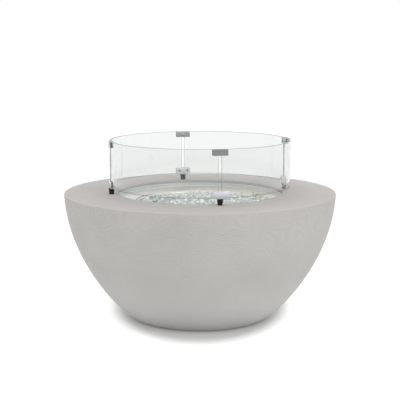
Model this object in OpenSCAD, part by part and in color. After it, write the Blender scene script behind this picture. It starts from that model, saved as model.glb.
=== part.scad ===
// Round gas fire pit table. A cast bowl carries a drop-in steel burner pan with a ring burner
// under crushed fire glass, and a curved glass wind guard stands on the deck around the flame.
// Millimetres, +Z up. The origin is the centre of the base on the floor.
// The front faces -Y, and the controls sit in a recess at the back, facing +Y.

/* [Bowl] */
// Outer diameter of the rim
bowl_d = 1067; // [980:1:1200]
// Height of the casting above its pads
bowl_h = 491; // [450:1:560]
// Outer diameter at the foot of the casting
base_d = 552; // [500:1:620]
// Lean of the wall curve's upper handle towards the axis
rim_lean = 15.5; // [5:0.5:30]
// Length of the wall curve's upper handle
rim_pull = 245; // [200:1:290]
// Reach of the wall curve's lower handle away from the axis
foot_reach = 74; // [50:1:100]
// Rise of the wall curve's lower handle
foot_rise = 49; // [30:1:70]
// Thickness of the wall
wall_t = 20; // [15:0.5:25]
// Thickness of the deck
deck_t = 24; // [20:0.5:30]
// Rounding of the rim's edge
rim_round = 8; // [3:0.5:12]
// Diameter of the opening in the deck
opening_d = 648; // [610:1:680]
// Rounding of the opening's edge
mouth_round = 3; // [1:0.5:5]
// Depth of the pan's ledge below the deck
ledge_drop = 26; // [22:0.5:30]
// Width of the pan's ledge
ledge_w = 19; // [14:0.5:24]
// Thickness of the pan's ledge
ledge_t = 18; // [14:0.5:24]
// Thickness of the base flange
base_t = 24; // [18:0.5:30]
// Diameter of the opening through the base
base_opening_d = 400; // [360:1:430]
// Width of the hose notch at the back of the base
notch_w = 60; // [40:1:80]
// Height of the hose notch
notch_h = 42; // [34:1:56]

/* [Base pads] */
// Diameter of a rubber pad
pad_d = 44; // [30:1:56]
// Height of a rubber pad
pad_h = 6; // [4:0.5:10]
// Number of pads
pad_count = 6; // [4:2:10]

/* [Burner pan] */
// Thickness of the pan's sheet
pan_t = 1.5; // [1:0.1:2.5]
// Depth of the pan's floor below the deck
pan_depth = 80; // [70:1:100]
// Diameter of the lip where the dished flange meets the pan's wall
lip_d = 498; // [486:1:510]
// Depth of the lip below the deck
lip_drop = 38; // [34:0.5:42]
// Diameter of the pan's floor
pan_floor_d = 472; // [460:1:480]
// Clearance between the pan and the casting
pan_gap = 1; // [0.5:0.1:2]
// Depth of the collar's edge below the deck
collar_drop = 11.5; // [8:0.1:14]
// Radius of the rolled edge on the collar
hem_r = 2; // [1.5:0.1:3]
// Diameter of a drain hole
drain_d = 8; // [5:0.5:12]
// Number of drain holes
drain_count = 8; // [4:1:16]
// Diameter of the circle of drain holes
drain_ring_d = 430; // [424:1:440]

/* [Ring burner] */
// Diameter of the burner's tube
tube_d = 19; // [16:0.5:24]
// Wall of the burner's tube
tube_t = 1.5; // [1:0.1:2.5]
// Middle diameter of the outer ring
outer_ring_d = 340; // [300:1:350]
// Middle diameter of the inner ring
inner_ring_d = 170; // [130:1:200]
// Diameter of an arm
arm_d = 15; // [12:0.5:15.5]
// Diameter of the hub
hub_d = 36; // [32:0.5:48]
// Height of the hub above the pan's floor
hub_h = 27; // [24:0.5:34]
// Height of the tubes' middle above the pan's floor
tube_lift = 13; // [12:0.5:15]
// Diameter of a gas port
port_d = 3; // [2:0.1:4]
// Number of ports in the outer ring
outer_ports = 24; // [12:4:48]
// Number of ports in the inner ring
inner_ports = 12; // [8:4:24]
// Diameter of the nipple under the hub
nipple_d = 21; // [18:0.5:26]
// Length of the nipple below the pan's floor
nipple_len = 34; // [28:1:44]

/* [Gas train] */
// Size across the flats of the burner's locknut
locknut_af = 36; // [32:1:46]
// Thickness of the locknut
locknut_t = 8; // [5:0.5:12]
// Outer diameter of the air mixer
mixer_d = 30; // [26:0.5:36]
// Length of the air mixer's body
mixer_len = 60; // [52:1:76]
// Bore of the air mixer
mixer_bore_d = 12; // [9:0.5:13]
// Diameter of an air hole in the mixer
air_hole_d = 8; // [5:0.5:11]
// Number of air holes in the mixer
air_holes = 4; // [2:1:6]
// Thread diameter of a flare fitting
flare_d = 15.88; // [14:0.01:18]
// Length of a flare fitting
flare_len = 14; // [11:0.5:18]
// Bore of a flare fitting
flare_bore_d = 7; // [5:0.5:8]
// Length of the gas orifice
orifice_len = 8; // [5:0.5:12]
// Jet diameter of the gas orifice
jet_d = 1.8; // [1:0.1:3]
// Diameter of the gas hose
hose_d = 13; // [11:0.5:14]
// Size across the flats of a flare nut
nut_af = 22; // [20:0.5:26]
// Length of a flare nut
nut_len = 24; // [20:0.5:30]
// Clearance round screwed fittings
thread_gap = 0.1; // [0.05:0.01:0.2]

/* [Control panel] */
// Width of the control panel
panel_w = 160; // [150:1:180]
// Height of the control panel
panel_h = 84; // [80:1:96]
// Thickness of the control panel
panel_t = 2; // [1.5:0.1:3]
// Corner rounding of the control panel
panel_round = 8; // [4:0.5:12]
// Depth of the panel's middle below the deck
panel_drop = 125; // [115:1:140]
// Clearance round the panel in its recess
panel_gap = 1.5; // [0.5:0.1:3]
// Least depth of the panel's face inside the wall
recess_least = 5; // [2:0.5:10]
// Thickness of the casting behind the panel
boss_t = 18; // [14:0.5:22]
// Width of the window behind the panel
window_w = 124; // [120:1:130]
// Height of the window behind the panel
window_h = 54; // [50:1:58]
// Distance between the knob's and the igniter's axes
control_spread = 68; // [64:0.5:70]
// Diameter of a panel screw
panel_screw_d = 5; // [4:0.5:6]
// Length of a panel screw
panel_screw_len = 16; // [10:0.5:17]

/* [Valve and knob] */
// Width of the valve's flange
valve_flange_w = 50; // [48:0.5:52]
// Height of the valve's flange
valve_flange_h = 32; // [28:0.5:40]
// Thickness of the valve's flange
valve_flange_t = 5; // [4:0.5:7]
// Diameter of the valve's body
valve_d = 30; // [27:0.5:34]
// Length of the valve's body behind the panel
valve_len = 50; // [48:0.5:60]
// Diameter of the valve's neck through the panel
neck_d = 16; // [14:0.5:18]
// Height of the neck in front of the panel
neck_h = 3; // [2:0.5:3.5]
// Depth of the gas ports' axes behind the panel
port_depth = 36; // [35:0.5:40]
// Length of a gas port from the valve's axis
port_reach = 30; // [26:0.5:36]
// Diameter of a gas port
valve_port_d = 22; // [20:0.5:25]
// Diameter of the safety magnet's housing
magnet_d = 20; // [18:0.5:24]
// Length of the safety magnet's housing
magnet_len = 22; // [18:0.5:30]
// Diameter of a valve screw
valve_screw_d = 4; // [3:0.5:4.5]
// Distance between the valve's screws
valve_screw_pitch = 38; // [36:0.5:40]
// Diameter of the stem
stem_d = 8; // [6:0.5:9]
// Depth of the flat on the stem
stem_flat = 1.5; // [1:0.1:2]
// Length of the stem inside the valve
stem_in = 22; // [18:0.5:24]
// Running clearance round the stem
stem_gap = 0.05; // [0.02:0.01:0.1]
// Travel of the knob when it is pushed
push_travel = 3.5; // [2:0.1:4]
// Diameter of the plunger
plunger_d = 11; // [9:0.5:13]
// Length of the plunger's head
plunger_head = 3; // [2:0.5:5]
// Length of the plunger's rod
plunger_rod = 9; // [6:0.5:10]
// Diameter of the knob
knob_d = 44; // [40:1:46]
// Height of the knob's skirt
skirt_h = 7; // [5:0.5:10]
// Height of the knob's grip above its skirt
grip_h = 15; // [11:0.5:18]
// Width of the knob's grip
grip_w = 15; // [12:0.5:20]
// Outer diameter of the bezel
bezel_d = 50; // [48:1:54]
// Thickness of the bezel
bezel_t = 4; // [3:0.5:5]
// Gap left under the knob when it is pushed
knob_gap = 1; // [0.5:0.1:2]

/* [Igniter] */
// Diameter of the igniter's barrel
barrel_d = 22; // [20:0.5:26]
// Length of the barrel behind the panel
barrel_len = 58; // [56:0.5:70]
// Diameter of the igniter's flange
igniter_flange_d = 29; // [27:0.5:34]
// Thickness of the igniter's flange
igniter_flange_t = 3; // [2:0.5:4]
// Size across the flats of the igniter's nut
igniter_nut_af = 30; // [28:0.5:32]
// Thickness of the igniter's nut
igniter_nut_t = 6; // [4:0.5:8]
// Diameter of the battery
battery_d = 14.5; // [10:0.5:15]
// Length of the battery
battery_len = 50; // [44:0.5:50.5]
// Thickness of the barrel's closed end
barrel_end = 4; // [2.5:0.5:5]
// Clearance round the battery and the button
bore_gap = 0.1; // [0.05:0.01:0.2]
// Diameter of the button's cap
button_d = 19; // [17:0.5:22]
// Height of the button's cap
button_h = 6; // [4:0.5:8]
// Travel of the button
button_travel = 4; // [2:0.1:4.5]
// Gap left under the cap when it is pressed
button_gap = 0.5; // [0.3:0.1:1]

/* [Flame sensors] */
// Distance of the sensors from the burner's axis
sensor_y = 196; // [192:0.5:202]
// Distance between the electrode and the thermocouple
sensor_pitch = 28; // [22:0.5:36]
// Width of the sensors' bracket
bracket_w = 52; // [48:0.5:60]
// Depth of the sensors' bracket
bracket_l = 18; // [14:0.5:20]
// Thickness of the sensors' bracket
bracket_t = 1.5; // [1:0.1:2]
// Diameter of the electrode's ceramic and the thermocouple's collar
sensor_d = 8; // [6:0.5:10]
// Height of the sensors' collars above the pan's floor
sensor_rise = 18; // [14:0.5:22]
// Length of the sensors below the pan's floor
sensor_drop = 22; // [16:0.5:30]
// Diameter of the electrode's pin and the thermocouple's tip
tip_d = 3; // [2:0.1:4]
// Length of the electrode's pin and the thermocouple's tip
tip_len = 10; // [6:0.5:12]
// Diameter of the ignition lead
ignition_lead_d = 5; // [4:0.5:7]
// Diameter of the thermocouple's lead
thermo_lead_d = 4; // [3:0.5:5]

/* [Fire glass] */
// Depth of the fill's flat middle below the deck
fill_drop = 38; // [34:0.5:42]
// Depth of the fill's edge below the deck
fill_edge_drop = 50; // [44:0.5:54]
// Diameter of the fill's flat middle
fill_flat_d = 280; // [240:1:320]
// Clearance round the fill
fill_gap = 0.3; // [0.2:0.05:0.5]
// Largest width of a chip
chip_w = 21.5; // [16:0.5:21.5]
// Height of a chip
chip_h = 12; // [8:0.5:15]
// Distance between neighbouring chips
chip_pitch = 22; // [21.5:0.5:32]
// Gap between a chip and the fill that it lies on
chip_seat = 0.2; // [0.1:0.05:0.3]
// Seed of the chips' shapes
chip_seed = 7; // [1:1:99]

/* [Wind guard] */
// Outer diameter of the curved glass
guard_d = 710; // [690:1:730]
// Height of a glass panel
glass_h = 179; // [150:1:220]
// Thickness of the glass
glass_t = 8; // [6:0.5:10]
// Ground bevel on the glass edges
glass_bevel = 0.8; // [0.4:0.1:1.2]
// Gap between two panels
seam_gap = 12; // [11:0.5:16]
// Turn of the guard about the table's axis
guard_turn = 12; // [0:0.5:90]
// Diameter of a hole through the glass
glass_hole_d = 14; // [12.5:0.5:16]
// Height of a foot
foot_h = 23; // [18:0.5:30]
// Diameter of a foot at its top
foot_top_d = 24; // [20:0.5:26]
// Diameter of a foot on the deck
foot_tip_d = 18.5; // [15:0.5:20]
// Diameter of a foot screw
foot_screw_d = 5; // [4:0.5:6]

/* [Guard clips] */
// Thickness of a clip's plates
clip_t = 3; // [2.5:0.1:4]
// Width of a top clip
top_clip_w = 57.5; // [54:0.5:70]
// Height of a top clip
top_clip_h = 23.5; // [21:0.5:34]
// Width of a bottom clip
bottom_clip_w = 60; // [56:0.5:72]
// Height of a bottom clip
bottom_clip_h = 28; // [26:0.5:38]
// Width of the slant on a bottom clip's lower corners
slant_w = 7; // [4:0.5:9]
// Height of the slant on a bottom clip's lower corners
slant_h = 10; // [6:0.5:12]
// Corner rounding of the clips
clip_round = 2; // [1:0.1:3]
// Thickness of the gasket between plate and glass
gasket_t = 1.5; // [1:0.1:2.5]
// Margin of a gasket inside its clip's outline
gasket_margin = 2; // [1:0.1:3]
// Distance between a clip's two screws
clip_screw_pitch = 35; // [33:0.5:37]
// Diameter of a clip screw
clip_screw_d = 5; // [4:0.1:5.5]
// Diameter of the threaded boss on an outer plate
boss_d = 9; // [8.5:0.5:10]
// Clearance between the clip's pieces
clip_gap = 0.1; // [0.05:0.01:0.2]

/* [Hidden] */
$fn = 96;

// Colours of the finishes
concrete = [0.74, 0.73, 0.71];
steel = [0.78, 0.79, 0.80];
dark_steel = [0.55, 0.56, 0.57];
brass = [0.78, 0.65, 0.33];
black = [0.08, 0.08, 0.09];
clear = [0.85, 0.93, 0.90, 0.45];
ceramic = [0.93, 0.92, 0.88];

// Small overlap of cuts past the faces that they open
cut = 1;

// Bowl
bowl_r = bowl_d / 2;
base_r = base_d / 2;
opening_r = opening_d / 2;
base_opening_r = base_opening_d / 2;
deck_z = pad_h + bowl_h;
ledge_z = deck_z - ledge_drop;
ledge_r = opening_r - ledge_w;
ledge_back_r = opening_r + ledge_w;
wall_steps = 28;
wall_handles = [[bowl_r, deck_z - rim_round],
                [bowl_r - rim_lean, deck_z - rim_round - rim_pull],
                [base_r + foot_reach, pad_h + foot_rise],
                [base_r, pad_h]];

// Pan, as the outside of its sheet from the collar's edge to the hole in its floor
collar_r = opening_r - pan_gap;
pan_floor_z = deck_z - pan_depth;
floor_top_z = pan_floor_z + pan_t;
nipple_r = nipple_d / 2;
pan_line = [[collar_r, deck_z - collar_drop],
            [collar_r, ledge_z],
            [ledge_r - pan_gap, ledge_z],
            [lip_d / 2, deck_z - lip_drop],
            [pan_floor_d / 2, pan_floor_z],
            [nipple_r + pan_gap, pan_floor_z]];
pan_inside = [for (i = [0:len(pan_line) - 1]) shifted(pan_line, i, pan_t)];

// Burner and gas train
tube_z = floor_top_z + tube_lift;
mixer_top_z = pan_floor_z - locknut_t;
mixer_end_z = mixer_top_z - mixer_len;
orifice_z = mixer_end_z;
air_hole_z = mixer_top_z - mixer_len * 0.6;
hose_sides = 10;
hose_rings = 44;
lead_sides = 8;
lead_rings = 30;

// Control panel, on the back of the bowl
panel_z = deck_z - panel_drop;
recess_w = panel_w + 2 * panel_gap;
recess_h = panel_h + 2 * panel_gap;
wall_by_height = [for (i = [wall_steps:-1:0])
    let (p = bezier(wall_handles, i / wall_steps)) [p[1], p[0]]];
recess_low_r = lookup(panel_z - recess_h / 2, wall_by_height);
panel_y = sqrt(recess_low_r * recess_low_r - recess_w * recess_w / 4) - recess_least;
seat_y = panel_y - panel_t;
knob_x = -control_spread / 2;
igniter_x = control_spread / 2;
screw_x = (panel_w / 2 + window_w / 2) / 2;
screw_z = panel_h / 2 - panel_round;

// Valve and knob
valve_back_y = seat_y - valve_len;
port_y = seat_y - port_depth;
magnet_end_y = valve_back_y - magnet_len;
stem_end_y = seat_y - stem_in;
chamber_end_y = stem_end_y - plunger_head - plunger_rod - push_travel - knob_gap;
bezel_front_y = panel_y + bezel_t;
knob_back_y = bezel_front_y + push_travel + knob_gap;
knob_front_y = knob_back_y + skirt_h + grip_h;
stem_front_y = knob_front_y - grip_h / 2;
inlet_z = panel_z - port_reach;
inlet_hex_t = 8;
outlet_x = knob_x - port_reach;
fitting_bore_r = flare_bore_d / 2;

// Igniter
barrel_back_y = seat_y - barrel_len;
battery_back_y = barrel_back_y + barrel_end;
battery_front_y = battery_back_y + battery_len;
button_back_y = battery_front_y + button_travel + button_gap;
cap_back_y = panel_y + igniter_flange_t + button_travel + button_gap;
terminal_d = 4;
terminal_len = 8;

// Routes of the hose and the leads: their ends, the straight stub at each end and the pulls of the curve
hose_start = [outlet_x - flare_len, port_y, panel_z];
hose_end = [0, 0, mixer_end_z - flare_len];
hose_stub = nut_len - flare_len + hose_d;
hose_pulls = [90, 130];
electrode_x = sensor_pitch / 2;
thermo_x = -sensor_pitch / 2;
sensor_end_z = pan_floor_z - sensor_drop;
ignition_start = [igniter_x, barrel_back_y - terminal_len, panel_z];
ignition_end = [electrode_x, sensor_y, sensor_end_z];
thermo_start = [knob_x, magnet_end_y, panel_z];
thermo_end = [thermo_x, sensor_y, sensor_end_z];
lead_stub = 6;
lead_pulls = [80, 55];

// Fire glass
fill_z = deck_z - fill_drop;
fill_edge_z = deck_z - fill_edge_drop;
fill_edge_r = pan_r(fill_edge_z) - fill_gap;
fill_flat_r = fill_flat_d / 2;
fill_slope = atan2(fill_z - fill_edge_z, fill_edge_r - fill_flat_r);
sensor_hood_h = sensor_rise + tip_len + fill_gap;
chip_reach = chip_w / 2;
chip_rings = concat(
    [for (r = [chip_pitch:chip_pitch:fill_flat_r - chip_reach]) [r, fill_z, 0]],
    [for (r = [fill_flat_r + chip_reach:chip_pitch:fill_edge_r - chip_reach])
        [r, fill_z - (r - fill_flat_r) * tan(fill_slope), fill_slope]]);
chip_spots = concat([[0, 0, fill_z, 0]],
    [for (ring = chip_rings)
        let (count = floor(2 * PI * ring[0] / chip_pitch))
        for (i = [0:count - 1]) [ring[0], 360 * (i + ring[0] / chip_pitch / 2) / count, ring[1], ring[2]]]);
chip_sides = 4;
chip_draws = rands(0, 1, len(chip_spots) * chip_sides * 5, chip_seed);

// Wind guard
glass_r = guard_d / 2;
glass_in_r = glass_r - glass_t;
glass_mid_r = glass_r - glass_t / 2;
shelf_z = deck_z + foot_h;
glass_z = shelf_z + clip_t;
glass_top_z = glass_z + glass_h;
seam_deg = seam_gap / glass_r * 180 / PI;
outer_plate_r = glass_r + gasket_t;
inner_plate_r = glass_in_r - gasket_t;
clip_screw_deg = clip_screw_pitch / 2 / glass_mid_r * 180 / PI;
top_clip_z = glass_top_z - top_clip_h / 2;
bottom_clip_z = shelf_z + bottom_clip_h / 2;
bottom_screw_z = glass_z + (bottom_clip_h - clip_t) / 2;
screw_head_r = clip_screw_d;
screw_head_h = clip_t * 0.8;
clip_screw_len = clip_t + gasket_t + glass_t;
foot_head_r = min(foot_screw_d * 0.9, seam_gap / 2 - clip_gap);
foot_head_h = 3;
foot_hole_depth = foot_h * 0.6;

// A point and a direction on a cubic curve
function bezier(p, t) = let (s = 1 - t)
    s * s * s * p[0] + 3 * s * s * t * p[1] + 3 * s * t * t * p[2] + t * t * t * p[3];
function bezier_way(p, t) = let (s = 1 - t,
    d = s * s * (p[1] - p[0]) + 2 * s * t * (p[2] - p[1]) + t * t * (p[3] - p[2])) d / norm(d);

// An arc's points and a list in reverse
function arc(c, r, a, b, n) = [for (i = [0:n])
    let (turn = a + (b - a) * i / n) c + r * [cos(turn), sin(turn)]];
function reversed(v) = [for (i = [len(v) - 1:-1:0]) v[i]];

// A line's points moved sideways by a sheet's thickness, with mitred corners
function sideways(a, b) = let (d = b - a) [d[1], -d[0]] / norm(d);
function shifted(p, i, t) = i == 0 ? p[0] + t * sideways(p[0], p[1])
    : i == len(p) - 1 ? p[i] + t * sideways(p[i - 1], p[i])
    : let (a = sideways(p[i - 1], p[i]), b = sideways(p[i], p[i + 1])) p[i] + t * (a + b) / (1 + a * b);

// The wall's curve, moved inwards by a thickness
function wall_line(inset) = [for (i = [0:wall_steps])
    let (t = i / wall_steps, way = bezier_way(wall_handles, t))
    bezier(wall_handles, t) + inset * [way[1], -way[0]]];

// Inner radius of the pan's wall below its lip at a height
function pan_r(z) = let (lip = pan_inside[3], foot = pan_inside[4])
    foot[0] + (lip[0] - foot[0]) * (z - foot[1]) / (lip[1] - foot[1]);

// One of a chip's five random draws for each of its corners
function draw(chip, corner, kind) = chip_draws[(chip * chip_sides + corner) * 5 + kind];

// A chip's lower or upper corner, on the slope that the chip lies on
function chip_corner(chip, corner, upper) = let (
    spot = chip_spots[chip],
    turn = 90 * corner + 50 * (draw(chip, corner, upper ? 0 : 1) - 0.5),
    reach = chip_reach * (upper ? 0.35 + 0.45 * draw(chip, corner, 2)
                                : 0.65 + 0.35 * draw(chip, corner, 3)),
    lift = chip_seat + (upper ? chip_h * (0.5 + 0.5 * draw(chip, corner, 4)) : 0),
    out = spot[0] + reach * cos(turn) * cos(spot[3]) + lift * sin(spot[3]),
    across = reach * sin(turn))
    [out * cos(spot[1]) - across * sin(spot[1]),
     out * sin(spot[1]) + across * cos(spot[1]),
     spot[2] - reach * cos(turn) * sin(spot[3]) + lift * cos(spot[3])];
function chip_faces(first) = concat(
    [[first, first + 1, first + 2], [first, first + 2, first + 3],
     [first + 4, first + 6, first + 5], [first + 4, first + 7, first + 6]],
    [for (j = [0:3]) let (k = (j + 1) % 4) each [[first + j, first + 4 + j, first + 4 + k],
                                                 [first + j, first + 4 + k, first + k]]]);

// A cord's points: straight out of its start, along a curve, and straight into its end
function cord_points(start, out_way, end, in_way, stub, pulls, rings) = let (
    a = start + stub * out_way,
    b = end + stub * in_way,
    handles = [a, a + pulls[0] * out_way, b + pulls[1] * in_way, b])
    concat([start], [for (i = [0:rings]) bezier(handles, i / rings)], [end]);

// A round cord along its points, with its rings carried along without twist
function square_to(way, u) = let (v = u - (u * way) * way) v / norm(v);
module cord(points, d, sides) {
    last = len(points) - 1;
    ways = [for (i = [0:last]) let (w = points[min(i + 1, last)] - points[max(i - 1, 0)]) w / norm(w)];
    ups = [for (i = 0, u = square_to(ways[0], [0.3, 0.2, 1]); i <= last;
            i = i + 1, u = i <= last ? square_to(ways[i], u) : u) u];
    skin_points = [for (i = [0:last]) for (j = [0:sides - 1])
        let (turn = 360 * j / sides)
        points[i] + d / 2 * (cos(turn) * ups[i] + sin(turn) * cross(ways[i], ups[i]))];
    skin = [for (i = [0:last - 1]) for (j = [0:sides - 1])
        let (a = i * sides + j, b = i * sides + (j + 1) % sides)
        each [[a, b + sides, b], [a, a + sides, b + sides]]];
    start_cap = [[for (j = [0:sides - 1]) j]];
    end_cap = [[for (j = [sides - 1:-1:0]) last * sides + j]];
    polyhedron(skin_points, concat(start_cap, skin, end_cap));
}

// Shapes that several pieces share
module rounded_rect(w, h, r) {
    square([w - 2 * r, h], center = true);
    square([w, h - 2 * r], center = true);
    for (x = [-1, 1], y = [-1, 1])
        translate([x * (w / 2 - r), y * (h / 2 - r)]) circle(r);
}
module hex_prism(af, h) {
    cylinder(d = af / cos(30), h = h, $fn = 6);
}
// Children drawn on X and Z, pushed along +Y from a plane
module along_y(y, len) {
    translate([0, y + len, 0]) rotate([90, 0, 0]) linear_extrude(len) children();
}
// A round bar along +Y
module bar_y(x, y, z, d, len) {
    translate([x, y, z]) rotate([-90, 0, 0]) cylinder(d = d, h = len);
}
// A countersunk screw along +Y, with its head's face at y
module sunk_screw_y(x, y, z, d, head_h, len) {
    translate([x, y, z]) rotate([90, 0, 0]) {
        cylinder(d1 = 2 * d, d2 = d, h = head_h);
        cylinder(d = d, h = len);
    }
}
module ring(r_in, r_out, z, h) {
    difference() {
        translate([0, 0, z]) cylinder(r = r_out, h = h);
        translate([0, 0, z - cut]) cylinder(r = r_in, h = h + 2 * cut);
    }
}

// Bowl: a one-piece casting with a ledge for the pan and a recess for the controls
module bowl_outside(inset) {
    polygon(concat([[0, pad_h]], reversed(wall_line(inset)),
        arc([bowl_r - rim_round, deck_z - rim_round], rim_round - inset, 0, 90, 8), [[0, deck_z - inset]]));
}
module bowl_hollow() {
    difference() {
        intersection() {
            polygon(concat([[0, deck_z]], wall_line(wall_t), [[0, wall_line(wall_t)[wall_steps][1]]]));
            translate([0, pad_h + base_t]) square([bowl_r, bowl_h - base_t - deck_t]);
        }
        polygon([[ledge_r, deck_z], [ledge_r, ledge_z - ledge_t], [ledge_back_r, ledge_z - ledge_t],
            [ledge_back_r + ledge_t, ledge_z], [ledge_back_r + ledge_t, deck_z]]);
    }
}
module bowl_mouth() {
    polygon(concat([[0, ledge_z], [opening_r, ledge_z]],
        reversed(arc([opening_r + mouth_round, deck_z - mouth_round], mouth_round, 90, 180, 6)),
        [[opening_r + mouth_round, deck_z + cut], [0, deck_z + cut]]));
}
module bowl_section() {
    difference() {
        bowl_outside(0);
        bowl_hollow();
        bowl_mouth();
        translate([0, ledge_z - ledge_t - cut]) square([ledge_r, ledge_t + 2 * cut]);
        translate([0, pad_h - cut]) square([base_opening_r, base_t + 2 * cut]);
    }
}
module control_boss() {
    intersection() {
        rotate_extrude() bowl_outside(wall_t / 4);
        translate([-recess_w / 2 - wall_t, seat_y - boss_t, panel_z - recess_h / 2 - wall_t])
            cube([recess_w + 2 * wall_t, bowl_r, recess_h + 2 * wall_t]);
    }
}
module control_recess() {
    along_y(seat_y, bowl_r)
        translate([0, panel_z]) rounded_rect(recess_w, recess_h, panel_round + panel_gap);
    along_y(seat_y - boss_t - wall_t, boss_t + wall_t + cut)
        translate([0, panel_z]) rounded_rect(window_w, window_h, panel_round);
    for (x = [-1, 1], z = [-1, 1])
        bar_y(x * screw_x, seat_y - panel_screw_len, panel_z + z * screw_z,
            panel_screw_d + 2 * thread_gap, panel_screw_len + cut);
}
module hose_notch() {
    along_y(base_opening_r - notch_w, bowl_r) translate([0, pad_h - cut]) {
        translate([-notch_w / 2, 0]) square([notch_w, notch_h - notch_w / 2 + cut]);
        translate([0, notch_h - notch_w / 2 + cut]) circle(d = notch_w);
    }
}
module bowl() {
    color(concrete)
    difference() {
        union() {
            rotate_extrude() bowl_section();
            control_boss();
        }
        control_recess();
        hose_notch();
    }
}

// Base pads: rubber discs under the base flange
module base_pads() {
    color(black)
    for (i = [0:pad_count - 1])
        rotate([0, 0, 360 * (i + 0.5) / pad_count + 90])
            translate([(base_opening_r + base_r) / 2, 0, 0]) cylinder(d = pad_d, h = pad_h);
}

// Burner pan: a spun steel dish that hangs on the ledge, with a dished flange that falls to a lip
module burner_pan() {
    color(steel)
    difference() {
        union() {
            rotate_extrude() polygon(concat(pan_line, reversed(pan_inside)));
            rotate_extrude() translate([collar_r - hem_r - pan_t / 4, deck_z - collar_drop - hem_r / 2])
                circle(hem_r);
        }
        for (i = [0:drain_count - 1])
            rotate([0, 0, 360 * (i + 0.5) / drain_count])
                translate([drain_ring_d / 2, 0, pan_floor_z - cut])
                    cylinder(d = drain_d, h = pan_t + 2 * cut);
        for (x = [electrode_x, thermo_x])
            translate([x, sensor_y, pan_floor_z - cut])
                cylinder(d = sensor_d + 2 * pan_gap, h = pan_t + 2 * cut);
    }
}

// Ring burner: two hollow rings on four arms, welded to a hub with a threaded nipple
module burner_form(shrink) {
    for (d = [outer_ring_d, inner_ring_d])
        translate([0, 0, tube_z]) rotate_extrude() translate([d / 2, 0]) circle(d = tube_d - 2 * shrink);
    for (a = [0, 90])
        rotate([0, 0, a + 45]) translate([0, 0, tube_z]) rotate([0, 90, 0])
            cylinder(d = arm_d - 2 * shrink, h = outer_ring_d, center = true);
    translate([0, 0, floor_top_z + shrink]) cylinder(d = hub_d - 2 * shrink, h = hub_h - 2 * shrink);
    translate([0, 0, pan_floor_z - nipple_len - (shrink > 0 ? cut : 0)])
        cylinder(d = nipple_d - 4 * shrink, h = nipple_len + hub_h / 2);
}
module burner_ports(d, count) {
    for (i = [0:count - 1])
        rotate([0, 0, 360 * (i + 0.5) / count]) translate([d / 2, 0, tube_z])
            cylinder(d = port_d, h = tube_d);
}
module ring_burner() {
    color(dark_steel)
    difference() {
        burner_form(0);
        burner_form(tube_t);
        burner_ports(outer_ring_d, outer_ports);
        burner_ports(inner_ring_d, inner_ports);
    }
}

// Burner locknut: clamps the hub to the pan's floor from below
module burner_locknut() {
    color(brass)
    difference() {
        translate([0, 0, pan_floor_z - locknut_t]) hex_prism(locknut_af, locknut_t);
        translate([0, 0, pan_floor_z - locknut_t - cut])
            cylinder(r = nipple_r + thread_gap, h = locknut_t + 2 * cut);
    }
}

// Air mixer: screwed on the nipple, with holes that draw in air above the gas jet
module air_mixer() {
    color(brass)
    difference() {
        union() {
            translate([0, 0, mixer_end_z]) cylinder(d = mixer_d, h = mixer_len);
            translate([0, 0, mixer_end_z - flare_len]) cylinder(d = flare_d, h = flare_len + cut);
        }
        translate([0, 0, pan_floor_z - nipple_len])
            cylinder(r = nipple_r + thread_gap, h = nipple_len);
        translate([0, 0, orifice_z]) cylinder(d = mixer_bore_d, h = mixer_len);
        translate([0, 0, mixer_end_z - flare_len - cut])
            cylinder(r = fitting_bore_r, h = flare_len + 2 * cut);
        for (i = [0:air_holes - 1])
            rotate([0, 0, 360 * (i + 0.5) / air_holes]) translate([0, 0, air_hole_z]) rotate([0, 90, 0])
                rotate([0, 0, 90]) cylinder(d = air_hole_d, h = mixer_d);
    }
}

// Gas orifice: the brass jet at the bottom of the mixer
module gas_orifice() {
    color(brass)
    difference() {
        translate([0, 0, orifice_z]) cylinder(d = mixer_bore_d - 2 * thread_gap, h = orifice_len);
        translate([0, 0, orifice_z - cut]) cylinder(d = jet_d, h = orifice_len + 2 * cut);
        translate([0, 0, orifice_z - cut]) cylinder(r = fitting_bore_r, h = orifice_len / 2 + cut);
    }
}

// Gas hose: a flexible line from the valve's outlet to the mixer
module gas_hose() {
    color(dark_steel)
    cord(cord_points(hose_start, [-1, 0, 0], hose_end, [0, 0, -1], hose_stub, hose_pulls, hose_rings),
         hose_d, hose_sides);
}

// Hose nuts: flare nuts at the two ends of the hose
module flare_nut() {
    difference() {
        hex_prism(nut_af, nut_len);
        translate([0, 0, -cut]) cylinder(d = flare_d + 2 * thread_gap, h = flare_len + cut);
        cylinder(d = hose_d + 4 * thread_gap, h = nut_len + cut);
    }
}
module hose_nuts() {
    color(brass) {
        translate([0, 0, mixer_end_z]) mirror([0, 0, 1]) flare_nut();
        translate([outlet_x, port_y, panel_z]) rotate([0, -90, 0]) flare_nut();
    }
}

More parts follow.
